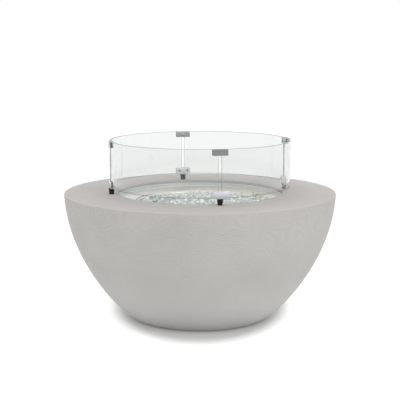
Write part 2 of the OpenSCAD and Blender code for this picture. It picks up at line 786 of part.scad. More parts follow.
// Gas valve: a die-cast tap with a safety magnet, an inlet below and an outlet at its side
module gas_valve() {
    color(dark_steel)
    difference() {
        union() {
            along_y(seat_y - valve_flange_t, valve_flange_t)
                translate([knob_x, panel_z]) rounded_rect(valve_flange_w, valve_flange_h, panel_round);
            bar_y(knob_x, valve_back_y, panel_z, valve_d, valve_len);
            bar_y(knob_x, seat_y - cut, panel_z, neck_d, panel_t + neck_h + cut);
            bar_y(knob_x, magnet_end_y, panel_z, magnet_d, magnet_len + cut);
            translate([knob_x, port_y, inlet_z]) cylinder(d = valve_port_d, h = port_reach);
            translate([outlet_x, port_y, panel_z]) rotate([0, 90, 0])
                cylinder(d = valve_port_d, h = port_reach);
            translate([outlet_x - flare_len, port_y, panel_z]) rotate([0, 90, 0])
                cylinder(d = flare_d, h = flare_len + cut);
        }
        bar_y(knob_x, stem_end_y, panel_z, stem_d + 2 * stem_gap, bowl_r);
        bar_y(knob_x, chamber_end_y, panel_z, plunger_d + 2 * stem_gap, stem_end_y - chamber_end_y);
        translate([knob_x, port_y, inlet_z - cut]) cylinder(r = fitting_bore_r, h = port_reach + cut);
        translate([knob_x, port_y, inlet_z - cut])
            cylinder(d = flare_d + 2 * thread_gap, h = flare_len + cut);
        translate([outlet_x - flare_len - cut, port_y, panel_z]) rotate([0, 90, 0])
            cylinder(r = fitting_bore_r, h = port_reach + flare_len + cut);
        for (x = [-1, 1])
            bar_y(knob_x + x * valve_screw_pitch / 2, seat_y - valve_flange_t - cut, panel_z,
                valve_screw_d + 2 * thread_gap, valve_flange_t + 2 * cut);
    }
}

// Inlet fitting: a brass flare adapter in the valve's inlet, where the supply is screwed on
module inlet_fitting() {
    color(brass)
    difference() {
        union() {
            translate([knob_x, port_y, inlet_z]) cylinder(d = flare_d, h = flare_len);
            translate([knob_x, port_y, inlet_z - inlet_hex_t]) hex_prism(nut_af, inlet_hex_t);
            translate([knob_x, port_y, inlet_z - inlet_hex_t - flare_len])
                cylinder(d = flare_d, h = flare_len);
        }
        translate([knob_x, port_y, inlet_z - inlet_hex_t - flare_len - cut])
            cylinder(r = fitting_bore_r, h = 2 * flare_len + inlet_hex_t + 2 * cut);
    }
}

// Valve screws: countersunk screws through the panel into the valve's flange
module valve_screws() {
    color(steel)
    for (x = [-1, 1])
        sunk_screw_y(knob_x + x * valve_screw_pitch / 2, panel_y, panel_z, valve_screw_d, panel_t,
            panel_t + valve_flange_t);
}

// Control panel: a steel sheet screwed to the seat in the recess
module control_panel() {
    color(steel)
    difference() {
        along_y(seat_y, panel_t) translate([0, panel_z]) rounded_rect(panel_w, panel_h, panel_round);
        bar_y(knob_x, seat_y - cut, panel_z, neck_d + 2 * thread_gap, panel_t + 2 * cut);
        bar_y(igniter_x, seat_y - cut, panel_z, barrel_d + 2 * thread_gap, panel_t + 2 * cut);
        for (x = [-1, 1], z = [-1, 1])
            bar_y(x * screw_x, seat_y - cut, panel_z + z * screw_z,
                panel_screw_d + 2 * thread_gap, panel_t + 2 * cut);
        for (x = [-1, 1])
            sunk_screw_y(knob_x + x * valve_screw_pitch / 2, panel_y + thread_gap, panel_z,
                valve_screw_d + 2 * thread_gap, panel_t + 2 * thread_gap, panel_t + cut);
    }
}

// Panel screws: pan-head screws into the casting
module panel_screws() {
    color(steel)
    for (x = [-1, 1], z = [-1, 1]) {
        bar_y(x * screw_x, seat_y - panel_screw_len + cut, panel_z + z * screw_z,
            panel_screw_d, panel_screw_len + panel_t);
        difference() {
            bar_y(x * screw_x, panel_y, panel_z + z * screw_z, panel_screw_d * 1.8, panel_screw_d / 2);
            along_y(panel_y + panel_screw_d / 4, panel_screw_d)
                translate([x * screw_x, panel_z + z * screw_z]) {
                    square([panel_screw_d, panel_screw_d / 5], center = true);
                    square([panel_screw_d / 5, panel_screw_d], center = true);
                }
        }
    }
}

// Knob bezel: a bevelled ring on the panel round the valve's neck
module knob_bezel() {
    color(steel)
    translate([knob_x, panel_y, panel_z]) rotate([-90, 0, 0]) rotate_extrude()
        polygon([[neck_d / 2 + thread_gap, 0], [bezel_d / 2, 0], [bezel_d / 2, bezel_t / 3],
            [bezel_d / 2 - bezel_t / 2, bezel_t], [neck_d / 2 + thread_gap, bezel_t]]);
}

// Valve plunger: pushed by the stem to open the safety magnet
module valve_plunger() {
    color(brass) {
        bar_y(knob_x, stem_end_y - plunger_head, panel_z, plunger_d, plunger_head);
        bar_y(knob_x, stem_end_y - plunger_head - plunger_rod, panel_z, plunger_d / 2, plunger_rod);
    }
}

// Valve stem: a shaft with a flat that carries the knob
module stem_form(y, len, gap) {
    difference() {
        bar_y(knob_x, y, panel_z, stem_d + 2 * gap, len);
        translate([knob_x - stem_d, y - cut, panel_z + stem_d / 2 - stem_flat + gap])
            cube([2 * stem_d, len + 2 * cut, stem_d]);
    }
}
module valve_stem() {
    color(steel) {
        bar_y(knob_x, stem_end_y, panel_z, stem_d, panel_y + neck_h - stem_end_y);
        stem_form(panel_y + neck_h, stem_front_y - panel_y - neck_h, 0);
    }
}

// Control knob: a round skirt with a straight grip that ends in a pointer
module control_knob() {
    color(black)
    difference() {
        union() {
            translate([knob_x, knob_back_y, panel_z]) rotate([-90, 0, 0]) rotate_extrude()
                polygon([[0, 0], [knob_d / 2, 0], [knob_d / 2, skirt_h / 2],
                    [knob_d / 2 - skirt_h / 2, skirt_h], [0, skirt_h]]);
            intersection() {
                translate([knob_x, knob_back_y, panel_z]) rotate([-90, 0, 0])
                    cylinder(d1 = knob_d - skirt_h / 2, d2 = knob_d - skirt_h, h = skirt_h + grip_h);
                along_y(knob_back_y + skirt_h / 2, skirt_h / 2 + grip_h) translate([knob_x, panel_z])
                    rounded_rect(grip_w, knob_d, grip_w / 4);
            }
        }
        stem_form(knob_back_y - cut, stem_front_y - knob_back_y + cut, stem_gap);
        translate([knob_x - grip_w / 16, knob_front_y - grip_w / 16, panel_z + knob_d / 8])
            cube([grip_w / 8, grip_w, knob_d]);
    }
}

// Igniter body: a plastic barrel with a flange, hollow for its battery
module igniter_body() {
    color(black)
    translate([igniter_x, 0, panel_z]) difference() {
        union() {
            bar_y(0, barrel_back_y, 0, barrel_d, panel_y - barrel_back_y + cut);
            bar_y(0, panel_y, 0, igniter_flange_d, igniter_flange_t);
            bar_y(0, barrel_back_y - terminal_len, 0, terminal_d, terminal_len + cut);
        }
        bar_y(0, battery_back_y, 0, battery_d + 2 * bore_gap, bowl_r);
    }
}

// Igniter nut: holds the barrel from behind the panel
module igniter_nut() {
    color(black)
    difference() {
        translate([igniter_x, seat_y, panel_z]) rotate([90, 0, 0]) hex_prism(igniter_nut_af, igniter_nut_t);
        bar_y(igniter_x, seat_y - igniter_nut_t - cut, panel_z, barrel_d + 2 * thread_gap,
            igniter_nut_t + 2 * cut);
    }
}

// Igniter battery: a single cell inside the barrel
module igniter_battery() {
    color(dark_steel) {
        bar_y(igniter_x, battery_back_y, panel_z, battery_d, battery_len - battery_d / 10);
        bar_y(igniter_x, battery_front_y - battery_d / 10, panel_z, battery_d / 3, battery_d / 10);
    }
}

// Igniter button: a crowned cap on a shank that slides in the barrel
module igniter_button() {
    color(black) {
        bar_y(igniter_x, button_back_y, panel_z, battery_d, cap_back_y - button_back_y);
        translate([igniter_x, cap_back_y, panel_z]) rotate([-90, 0, 0]) rotate_extrude()
            polygon([[0, 0], [button_d / 2, 0], [button_d / 2, button_h * 0.6],
                [button_d / 2 - button_h * 0.3, button_h * 0.9], [button_d / 4, button_h], [0, button_h]]);
    }
}

// Sensor bracket: holds the electrode and the thermocouple on the pan's floor
module sensor_bracket() {
    color(steel)
    difference() {
        translate([0, sensor_y, floor_top_z]) linear_extrude(bracket_t)
            rounded_rect(bracket_w, bracket_l, clip_round);
        for (x = [electrode_x, thermo_x])
            translate([x, sensor_y, floor_top_z - cut])
                cylinder(d = sensor_d + 2 * thread_gap, h = bracket_t + 2 * cut);
    }
}

// Electrode ceramic: the insulator, with a shoulder on the bracket
module sensor_sleeve(x) {
    difference() {
        union() {
            translate([x, sensor_y, sensor_end_z])
                cylinder(d = sensor_d, h = floor_top_z + sensor_rise - sensor_end_z);
            translate([x, sensor_y, floor_top_z + bracket_t])
                cylinder(d = sensor_d * 1.4, h = sensor_d / 2);
        }
        translate([x, sensor_y, floor_top_z]) cylinder(d = tip_d + 2 * thread_gap, h = sensor_rise + cut);
    }
}
module electrode_ceramic() {
    color(ceramic) sensor_sleeve(electrode_x);
}

// Electrode pin: the spark rod in the ceramic
module electrode_pin() {
    color(steel)
    translate([electrode_x, sensor_y, floor_top_z]) cylinder(d = tip_d, h = sensor_rise + tip_len);
}

// Thermocouple: a probe whose tip stands in the flame
module thermocouple() {
    color(dark_steel) {
        translate([thermo_x, sensor_y, sensor_end_z])
            cylinder(d = sensor_d, h = floor_top_z + sensor_rise - sensor_end_z);
        translate([thermo_x, sensor_y, floor_top_z + bracket_t])
            cylinder(d = sensor_d * 1.4, h = sensor_d / 2);
        translate([thermo_x, sensor_y, floor_top_z + sensor_rise - cut])
            cylinder(d = tip_d, h = tip_len + cut);
    }
}

// Leads: from the igniter to the electrode and from the thermocouple to the valve's magnet
module ignition_lead() {
    color(black)
    cord(cord_points(ignition_start, [0, -1, 0], ignition_end, [0, 0, -1],
            lead_stub, lead_pulls, lead_rings), ignition_lead_d, lead_sides);
}
module thermocouple_lead() {
    color(brass)
    cord(cord_points(thermo_start, [0, -1, 0], thermo_end, [0, 0, -1],
            lead_stub, lead_pulls, lead_rings), thermo_lead_d, lead_sides);
}

// Fire glass fill: the packed glass that covers the burner
module burner_room() {
    room_h = tube_lift + tube_d / 2 + fill_gap;
    for (d = [outer_ring_d, inner_ring_d])
        ring((d - tube_d) / 2 - fill_gap, (d + tube_d) / 2 + fill_gap, floor_top_z - cut, room_h + cut);
    for (a = [0, 90])
        rotate([0, 0, a + 45]) translate([0, 0, floor_top_z - cut + (room_h + cut) / 2])
            cube([outer_ring_d + tube_d, arm_d + 2 * fill_gap, room_h + cut], center = true);
    translate([0, 0, floor_top_z - cut]) cylinder(d = hub_d + 2 * fill_gap, h = hub_h + fill_gap + cut);
    translate([-bracket_w / 2 - fill_gap, sensor_y - bracket_l / 2 - fill_gap, floor_top_z - cut])
        cube([bracket_w + 2 * fill_gap, bracket_l + 2 * fill_gap, sensor_hood_h + cut]);
}
module fire_glass_fill() {
    color(clear)
    difference() {
        rotate_extrude() polygon([[0, floor_top_z], [pan_r(floor_top_z) - fill_gap, floor_top_z],
            [fill_edge_r, fill_edge_z], [fill_flat_r, fill_z], [0, fill_z]]);
        burner_room();
    }
}

// Fire glass chips: crushed glass lying on the fill, each chip a separate piece
module fire_glass_chips() {
    color(clear)
    polyhedron(
        [for (i = [0:len(chip_spots) - 1]) each concat(
            [for (j = [0:3]) chip_corner(i, j, false)], [for (j = [0:3]) chip_corner(i, j, true)])],
        [for (i = [0:len(chip_spots) - 1]) each chip_faces(i * 8)]);
}

// Wind guard: four curved panes, joined at the seams by clips that stand on rubber feet
function seam_angle(i) = guard_turn - 180 + 90 * i;
module at_seam(i) {
    rotate([0, 0, seam_angle(i)]) children();
}
// Children placed on the axes of a clip's two screws, with +Z pointing away from the table's axis
module at_clip_screws(z) {
    for (side = [-1, 1])
        rotate([0, 0, side * clip_screw_deg]) translate([0, 0, z]) rotate([0, 90, 0]) children();
}
// An outline drawn across the seam and upwards, as a curved plate between two radii
module curved_plate(r_in, r_out) {
    intersection() {
        ring(r_in, r_out, deck_z - cut, glass_top_z - deck_z + 2 * cut);
        rotate([90, 0, 90]) translate([0, 0, r_in / 2]) linear_extrude(r_out) children();
    }
}
module guard_glass(i) {
    color(clear)
    difference() {
        rotate([0, 0, seam_angle(i) + seam_deg / 2]) rotate_extrude(angle = 90 - seam_deg)
            polygon([[glass_in_r + glass_bevel, glass_z], [glass_r - glass_bevel, glass_z],
                [glass_r, glass_z + glass_bevel], [glass_r, glass_top_z - glass_bevel],
                [glass_r - glass_bevel, glass_top_z], [glass_in_r + glass_bevel, glass_top_z],
                [glass_in_r, glass_top_z - glass_bevel], [glass_in_r, glass_z + glass_bevel]]);
        for (k = [i, i + 1], z = [top_clip_z, bottom_screw_z])
            at_seam(k) at_clip_screws(z)
                translate([0, 0, glass_in_r - glass_t]) cylinder(d = glass_hole_d, h = 3 * glass_t);
    }
}

// Clip plates: the outer plate has two threaded bosses that reach through the glass
module outer_bosses(z) {
    at_clip_screws(z) translate([0, 0, inner_plate_r + clip_gap])
        cylinder(d = boss_d, h = outer_plate_r - inner_plate_r + clip_t / 2);
}
module boss_threads(z) {
    at_clip_screws(z) translate([0, 0, inner_plate_r - cut])
        cylinder(d = clip_screw_d + 2 * clip_gap, h = gasket_t + glass_t + cut);
}
module inner_plate_holes(z) {
    at_clip_screws(z) translate([0, 0, inner_plate_r - clip_t]) {
        translate([0, 0, -clip_t]) cylinder(d = clip_screw_d + 4 * clip_gap, h = 3 * clip_t);
        translate([0, 0, -cut]) cylinder(r = screw_head_r + clip_gap, h = cut);
        cylinder(r1 = screw_head_r + clip_gap, r2 = clip_screw_d / 2 + clip_gap, h = screw_head_h);
    }
}
module top_outline(margin) {
    translate([0, top_clip_z]) rounded_rect(top_clip_w - 2 * margin, top_clip_h - 2 * margin, clip_round);
}
module bottom_outline() {
    translate([0, bottom_clip_z]) difference() {
        rounded_rect(bottom_clip_w, bottom_clip_h, clip_round);
        for (x = [-1, 1])
            translate([x * bottom_clip_w / 2, -bottom_clip_h / 2])
                polygon([[-x * slant_w, -cut], [x * cut, -cut], [x * cut, slant_h], [0, slant_h],
                    [-x * slant_w, 0]]);
    }
}
module bottom_inner_outline(margin) {
    intersection() {
        bottom_outline();
        translate([0, bottom_screw_z])
            square([bottom_clip_w - 2 * margin, bottom_clip_h - clip_t - 2 * clip_gap - 2 * margin],
                center = true);
    }
}
module top_clip_outer(i) {
    color(steel)
    at_seam(i) difference() {
        union() {
            curved_plate(outer_plate_r, outer_plate_r + clip_t) top_outline(0);
            outer_bosses(top_clip_z);
        }
        boss_threads(top_clip_z);
    }
}
module top_clip_inner(i) {
    color(steel)
    at_seam(i) difference() {
        curved_plate(inner_plate_r - clip_t, inner_plate_r) top_outline(0);
        inner_plate_holes(top_clip_z);
    }
}
// The bottom clip's outer plate turns under the glass as a shelf, which the foot is screwed to
module bottom_clip_outer(i) {
    color(steel)
    at_seam(i) difference() {
        union() {
            curved_plate(outer_plate_r, outer_plate_r + clip_t) bottom_outline();
            curved_plate(inner_plate_r - clip_t, outer_plate_r + clip_t / 2)
                translate([0, shelf_z + clip_t / 2])
                    square([bottom_clip_w - 2 * slant_w, clip_t], center = true);
            outer_bosses(bottom_screw_z);
        }
        boss_threads(bottom_screw_z);
        translate([glass_mid_r, 0, shelf_z - cut])
            cylinder(d = foot_screw_d + 4 * clip_gap, h = clip_t + 2 * cut);
    }
}
module bottom_clip_inner(i) {
    color(steel)
    at_seam(i) difference() {
        curved_plate(inner_plate_r - clip_t, inner_plate_r) bottom_inner_outline(0);
        inner_plate_holes(bottom_screw_z);
    }
}

// Clip screws: countersunk screws from the inner plates into the bosses
module clip_screws() {
    color(dark_steel)
    for (i = [1:4], z = [top_clip_z, bottom_screw_z])
        at_seam(i) at_clip_screws(z) translate([0, 0, inner_plate_r - clip_t]) difference() {
            union() {
                cylinder(r1 = screw_head_r, r2 = clip_screw_d / 2, h = screw_head_h);
                cylinder(d = clip_screw_d, h = clip_screw_len - cut);
            }
            translate([0, 0, -cut]) hex_prism(clip_screw_d * 0.6, cut + screw_head_h / 2);
        }
}

// Clip gaskets: clear strips between plate and glass, with sleeves round the bosses
module gasket_strip(r_in) {
    difference() {
        curved_plate(r_in + clip_gap / 2, r_in + gasket_t - clip_gap / 2) children();
        for (z = [top_clip_z, bottom_screw_z])
            at_clip_screws(z) translate([0, 0, glass_in_r - glass_t])
                cylinder(d = boss_d + 2 * clip_gap, h = 3 * glass_t);
    }
}
module clip_gaskets() {
    color(clear)
    for (i = [1:4]) at_seam(i) {
        for (r = [glass_in_r - gasket_t, glass_r]) {
            gasket_strip(r) top_outline(gasket_margin);
            gasket_strip(r) bottom_inner_outline(gasket_margin);
        }
        for (z = [top_clip_z, bottom_screw_z])
            at_clip_screws(z) translate([0, 0, glass_in_r + clip_gap]) difference() {
                cylinder(d = glass_hole_d - 2 * clip_gap, h = glass_t - 4 * clip_gap);
                translate([0, 0, -cut]) cylinder(d = boss_d + 2 * clip_gap, h = glass_t + 2 * cut);
            }
    }
}

// Guard feet: tapered rubber feet under the seams
module guard_foot(i) {
    color(black)
    at_seam(i) translate([glass_mid_r, 0, deck_z]) difference() {
        cylinder(d1 = foot_tip_d, d2 = foot_top_d, h = foot_h);
        translate([0, 0, foot_h - foot_hole_depth])
            cylinder(d = foot_screw_d + 2 * clip_gap, h = foot_hole_depth + cut);
    }
}

// Foot screws: from the shelf down into the feet
module foot_screws() {
    color(dark_steel)
    for (i = [1:4]) at_seam(i) translate([glass_mid_r, 0, shelf_z + clip_t]) {
        cylinder(r1 = foot_head_r, r2 = foot_head_r * 0.7, h = foot_head_h);
        translate([0, 0, cut - clip_t - foot_hole_depth])
            cylinder(d = foot_screw_d, h = clip_t + foot_hole_depth);
    }
}

bowl();
base_pads();
burner_pan();
ring_burner();
burner_locknut();
air_mixer();
gas_orifice();
gas_hose();
hose_nuts();
gas_valve();
inlet_fitting();
valve_screws();
control_panel();
panel_screws();
knob_bezel();
valve_plunger();
valve_stem();
control_knob();
igniter_body();
igniter_nut();
igniter_battery();
igniter_button();
sensor_bracket();
electrode_ceramic();
electrode_pin();
thermocouple();
ignition_lead();
thermocouple_lead();
fire_glass_fill();
fire_glass_chips();
for (i = [1:4]) {
    guard_glass(i);
    top_clip_outer(i);
    top_clip_inner(i);
    bottom_clip_outer(i);
    bottom_clip_inner(i);
    guard_foot(i);
}
clip_screws();
clip_gaskets();
foot_screws();
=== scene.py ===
import math
import random

import bpy
from mathutils import Matrix, Vector


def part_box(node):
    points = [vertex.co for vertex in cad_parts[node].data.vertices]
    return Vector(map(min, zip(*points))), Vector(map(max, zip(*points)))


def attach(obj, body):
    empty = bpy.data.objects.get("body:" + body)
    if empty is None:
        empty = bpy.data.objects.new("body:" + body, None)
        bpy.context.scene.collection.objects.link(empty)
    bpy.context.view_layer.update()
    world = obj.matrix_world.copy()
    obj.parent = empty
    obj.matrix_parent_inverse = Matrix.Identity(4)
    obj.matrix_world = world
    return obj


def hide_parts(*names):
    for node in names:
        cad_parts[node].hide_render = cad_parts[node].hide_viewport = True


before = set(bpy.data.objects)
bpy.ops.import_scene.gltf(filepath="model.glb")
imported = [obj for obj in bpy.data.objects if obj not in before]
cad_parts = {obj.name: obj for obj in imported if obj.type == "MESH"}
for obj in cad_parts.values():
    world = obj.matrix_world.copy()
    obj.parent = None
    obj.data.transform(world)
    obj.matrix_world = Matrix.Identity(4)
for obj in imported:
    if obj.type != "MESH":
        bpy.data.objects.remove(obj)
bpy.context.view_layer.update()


# Studio: a floor under a white sky, with one wide soft lamp at the right. The floor is painted greyer round
# the foot, a painted shadow, and glows a little further out, painted light that whitens its real shadow
# there, so that the shadow stays close to the foot, as in the photograph.
# The camera stands about 4.2 m in front of the table and looks down a little.
class Socket:
    """An output of a shader node. Arithmetic on it adds Math nodes, and node() adds any other node."""

    def __init__(self, tree, output):
        self.tree = tree
        self.output = output

    def node(self, kind, settings, sockets, output=0):
        made = self.tree.nodes.new("ShaderNode" + kind)
        for name, value in settings.items():
            setattr(made, name, value)
        for name, value in sockets.items():
            if isinstance(value, Socket):
                self.tree.links.new(value.output, made.inputs[name])
            else:
                made.inputs[name].default_value = value
        return Socket(self.tree, made.outputs[output])

    def math(self, operation, first, second=0.0):
        return self.node("Math", {"operation": operation}, {0: first, 1: second})

    def __add__(self, other):
        return self.math("ADD", self, other)

    def __radd__(self, other):
        return self.math("ADD", other, self)

    def __sub__(self, other):
        return self.math("SUBTRACT", self, other)

    def __rsub__(self, other):
        return self.math("SUBTRACT", other, self)

    def __mul__(self, other):
        return self.math("MULTIPLY", self, other)

    def __rmul__(self, other):
        return self.math("MULTIPLY", other, self)


def ray_is_seen(tree):
    """1 for a ray that the camera, a reflection or a pane of glass sends out, and 0 for diffuse light."""
    start = Socket(tree, None)
    camera_ray = start.node("LightPath", {}, {}, "Is Camera Ray")
    glossy_ray = start.node("LightPath", {}, {}, "Is Glossy Ray")
    glass_ray = start.node("LightPath", {}, {}, "Is Transmission Ray")
    return glass_ray.math("MAXIMUM", camera_ray.math("MAXIMUM", camera_ray, glossy_ray), glass_ray)


def mixed(share, first, second):
    """One colour that turns into another."""
    return share.node("Mix", {"data_type": "RGBA"}, {0: share, 6: first, 7: second}, 2)


def between(value, low, high):
    """A soft step from 0 at low to 1 at high."""
    settings = {"interpolation_type": "SMOOTHSTEP", "clamp": True}
    return value.node("MapRange", settings, {"Value": value, "From Min": low, "From Max": high})


focal_px = 1085
photo_px = 400
film_mm = 36
camera_away = 4.245
camera_height = 1.134
camera_tilt = math.radians(9)
sky_light = 0.93
lamp_size = 3.0
lamp_place = Vector((3.4, -3.2, 3.0))
lamp_aim = Vector((0, 0, 0.4))
lamp_watts = 24
floor_size = 60
white = (1, 1, 1, 1)
black = (0, 0, 0, 1)
floor_white = (0.94, 0.94, 0.94, 1)
shade_grey = (0.66, 0.66, 0.66, 1)

# The painted shadow, a greyer patch, reaches its own distance to the sides, the front and the back. Its
# edge and the painted glow beyond it fade between shares of that distance.
shade_middle_y = 0.26
shade_half_w = 0.355
shade_front = 0.675
shade_back = 0.25
shade_edge = 0.90
shade_end = 1.12
far_start = 2.0
far_end = 5.0
shade_lift = 0.11
near_lift = 0.45
far_lift = 0.16

scene = bpy.context.scene
scene.view_settings.view_transform = "Standard"
bpy.ops.object.select_all(action="DESELECT")
bpy.ops.object.camera_add(location=(0, -camera_away, camera_height),
                          rotation=(math.pi / 2 - camera_tilt, 0, 0))
scene.camera = bpy.context.object
scene.camera.data.sensor_width = film_mm
scene.camera.data.lens = film_mm * focal_px / photo_px

sky = bpy.data.worlds.new("studio_sky")
sky.use_nodes = True
scene.world = sky
sky_seen = ray_is_seen(sky.node_tree)
sky_strength = sky_light + (1 - sky_light) * sky_seen
sky_shader = sky.node_tree.nodes["Background"]
sky_shader.inputs["Color"].default_value = white
sky.node_tree.links.new(sky_strength.output, sky_shader.inputs["Strength"])

lamp_turn = (lamp_aim - lamp_place).to_track_quat("-Z", "Y").to_euler()
bpy.ops.object.light_add(type="AREA", location=lamp_place, rotation=lamp_turn)
lamp = bpy.context.object
lamp.data.size = lamp_size
lamp.data.energy = lamp_watts

bpy.ops.mesh.primitive_plane_add(size=floor_size)
floor = bpy.context.object
floor.name = "studio_floor"
floor_paint = bpy.data.materials.new("studio_floor")
floor_paint.use_nodes = True
floor_shader = floor_paint.node_tree.nodes["Principled BSDF"]
floor_shader.inputs["Roughness"].default_value = 1
floor_shader.inputs["Specular IOR Level"].default_value = 0
floor_shader.inputs["Emission Strength"].default_value = 1
floor_place = Socket(floor_paint.node_tree, None).node("TexCoord", {}, {}, "Object")
floor_x = floor_place.node("SeparateXYZ", {}, {0: floor_place}, "X")
floor_y = floor_place.node("SeparateXYZ", {}, {0: floor_place}, "Y")
in_front = shade_middle_y - floor_y
shade_x = floor_x * (1 / shade_half_w)
shade_y = (in_front.math("MAXIMUM", in_front, 0.0) * (1 / shade_front)
           + in_front.math("MINIMUM", in_front, 0.0) * (1 / shade_back))
from_shade = shade_x.math("SQRT", shade_x * shade_x + shade_y * shade_y)
off_shade = between(from_shade, shade_edge, shade_end)
far_off = between(from_shade, far_start, far_end)
# Painted shadow: the floor's colour is grey inside the patch round the foot.
floor_painted_shadow_tone = mixed(off_shade, shade_grey, floor_white)
floor_paint.node_tree.links.new(floor_painted_shadow_tone.output, floor_shader.inputs["Base Color"])
# Painted light: to seen rays the floor glows most just beyond the patch, whitening its real shadow there,
# and less far away.
floor_lift = shade_lift + (near_lift - shade_lift) * off_shade + (far_lift - near_lift) * far_off
floor_seen = ray_is_seen(floor_paint.node_tree)
floor_glow = mixed(floor_seen * floor_lift, black, white)
floor_paint.node_tree.links.new(floor_glow.output, floor_shader.inputs["Emission Color"])
floor.data.materials.append(floor_paint)


# Bowl: one hollow casting of pale glass-fibre concrete, with a smooth deck and a wavy wood-like grain
# that the mould leaves on its side. A recess at the back takes the controls, a ledge in the opening
# carries the burner pan, and a notch in the foot lets the supply hose in.
def curve_points(start, start_handle, end_handle, end, steps):
    """Points along a cubic curve."""
    points = []
    for i in range(steps + 1):
        t = i / steps
        s = 1 - t
        points.append(s ** 3 * start + 3 * s ** 2 * t * start_handle
                      + 3 * s * t ** 2 * end_handle + t ** 3 * end)
    return points


def arc_points(middle, radius, first_deg, last_deg, steps):
    """Points along an arc."""
    turns = [math.radians(first_deg + (last_deg - first_deg) * i / steps) for i in range(steps + 1)]
    return [Vector((middle[0] + radius * math.cos(a), middle[1] + radius * math.sin(a))) for a in turns]


def beside(points, distance):
    """A line's points moved sideways, to the right of its direction."""
    moved = []
    for i, point in enumerate(points):
        way = (points[min(i + 1, len(points) - 1)] - points[max(i - 1, 0)]).normalized()
        moved.append(point + distance * Vector((way.y, -way.x)))
    return moved


def outline_wire(name, outline, middle=(0.0, 0.0)):
    """A wire along an outline of radius and height, closed unless it starts and ends on the axis."""
    bpy.ops.object.select_all(action="DESELECT")
    bpy.ops.mesh.primitive_plane_add(size=0.01)
    piece = bpy.context.object
    piece.name = name
    piece.data.name = name
    bpy.ops.object.mode_set(mode="EDIT")
    bpy.ops.mesh.select_mode(type="VERT")
    bpy.ops.mesh.select_all(action="SELECT")
    bpy.ops.mesh.merge(type="CENTER")
    bpy.ops.transform.translate(value=(middle[0] + outline[0][0], middle[1], outline[0][1]))
    stops = list(outline[1:])
    if outline[0][0] > 0:
        stops.append(outline[0])
    here = outline[0]
    for there in stops:
        step = (there[0] - here[0], 0, there[1] - here[1])
        bpy.ops.mesh.extrude_region_move(TRANSFORM_OT_translate={"value": step})
        here = there
    bpy.ops.mesh.select_all(action="SELECT")
    bpy.ops.mesh.remove_doubles(threshold=1e-6)
    return piece


def turned(name, outline, steps, middle=(0.0, 0.0)):
    """A turned piece: an outline of radius and height, spun round an upright axis."""
    piece = outline_wire(name, outline, middle)
    bpy.ops.mesh.spin(steps=steps, angle=2 * math.pi, center=(*middle, 0), axis=(0, 0, 1))
    bpy.ops.mesh.select_all(action="SELECT")
    bpy.ops.mesh.remove_doubles(threshold=1e-6)
    bpy.ops.mesh.normals_make_consistent(inside=False)
    bpy.ops.object.mode_set(mode="OBJECT")
    return piece


def select_edges(piece, wanted):
    """Selects the edges whose two ends pass a test, and leaves the piece in edit mode."""
    bpy.context.view_layer.objects.active = piece
    bpy.ops.object.mode_set(mode="EDIT")
    bpy.ops.mesh.select_mode(type="EDGE")
    bpy.ops.mesh.select_all(action="DESELECT")
    bpy.ops.object.mode_set(mode="OBJECT")
    for edge in piece.data.edges:
        first, second = (piece.data.vertices[i].co for i in edge.vertices)
        edge.select = wanted(first, second)
    bpy.ops.object.mode_set(mode="EDIT")


def runs_inwards(a, b):
    """A test for the edges that run in from the back."""
    return abs(a.y - b.y) > 0.01


def block(name, low, high):
    """A rectangular block between two corners."""
    bpy.ops.object.select_all(action="DESELECT")
    bpy.ops.mesh.primitive_cube_add(size=1)
    piece = bpy.context.object
    piece.name = name
    bpy.ops.object.mode_set(mode="EDIT")
    bpy.ops.mesh.select_all(action="SELECT")
    bpy.ops.transform.resize(value=Vector(high) - Vector(low))
    bpy.ops.transform.translate(value=(Vector(high) + Vector(low)) / 2)
    bpy.ops.object.mode_set(mode="OBJECT")
    return piece


def carve(piece, operation, *tools):
    """Joins tools to a piece or cuts them out of it, and removes them."""
    for tool in tools:
        bpy.ops.object.select_all(action="DESELECT")
        bpy.context.view_layer.objects.active = piece
        work = piece.modifiers.new("work", "BOOLEAN")
        work.operation = operation
        work.solver = "EXACT"
        work.object = tool
        bpy.ops.object.modifier_apply(modifier=work.name)
        bpy.data.objects.remove(tool)


def smooth(piece, angle_deg):
    """Shades a piece smooth, apart from edges sharper than an angle."""
    bpy.ops.object.select_all(action="DESELECT")
    piece.select_set(True)
    bpy.context.view_layer.objects.active = piece
    bpy.ops.object.shade_smooth_by_angle(angle=math.radians(angle_deg))


def srgb(red, green, blue):
    """A colour as it looks on a screen, from 0 to 255, as a shader colour."""
    shares = [c / 255 for c in (red, green, blue)]
    return (*[s / 12.92 if s <= 0.04045 else ((s + 0.055) / 1.055) ** 2.4 for s in shares], 1)


def new_finish(name):
    """A new material and the place on the piece that its patterns are read at."""
    material = bpy.data.materials.new(name)
    material.use_nodes = True
    place = Socket(material.node_tree, None).node("TexCoord", {}, {}, "Object")
    return material, place


def set_surface(material, **sockets):
    """Sets the sockets of a material's surface, named with _ for a space."""
    shader = material.node_tree.nodes["Principled BSDF"]
    for name, value in sockets.items():
        socket = shader.inputs[name.replace("_", " ")]
        if isinstance(value, Socket):
            material.node_tree.links.new(value.output, socket)
        else:
            socket.default_value = value


def mottle(place, scale, detail=2.0, roughness=0.5):
    """Cloudy noise around 0.5."""
    sockets = {"Vector": place, "Scale": scale, "Detail": detail, "Roughness": roughness}
    return place.node("TexNoise", {}, sockets)


def bumped(height, depth, strength=1.0):
    """A surface normal for a relief that is so deep."""
    return height.node("Bump", {}, {"Height": height, "Distance": depth, "Strength": strength}, "Normal")


def put_on(material, *pieces):
    """Gives pieces, or CAD nodes named as text, one material all over."""
    for piece in pieces:
        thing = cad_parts[piece] if isinstance(piece, str) else piece
        if not thing.material_slots:
            thing.data.materials.append(material)
        for slot in thing.material_slots:
            slot.material = material


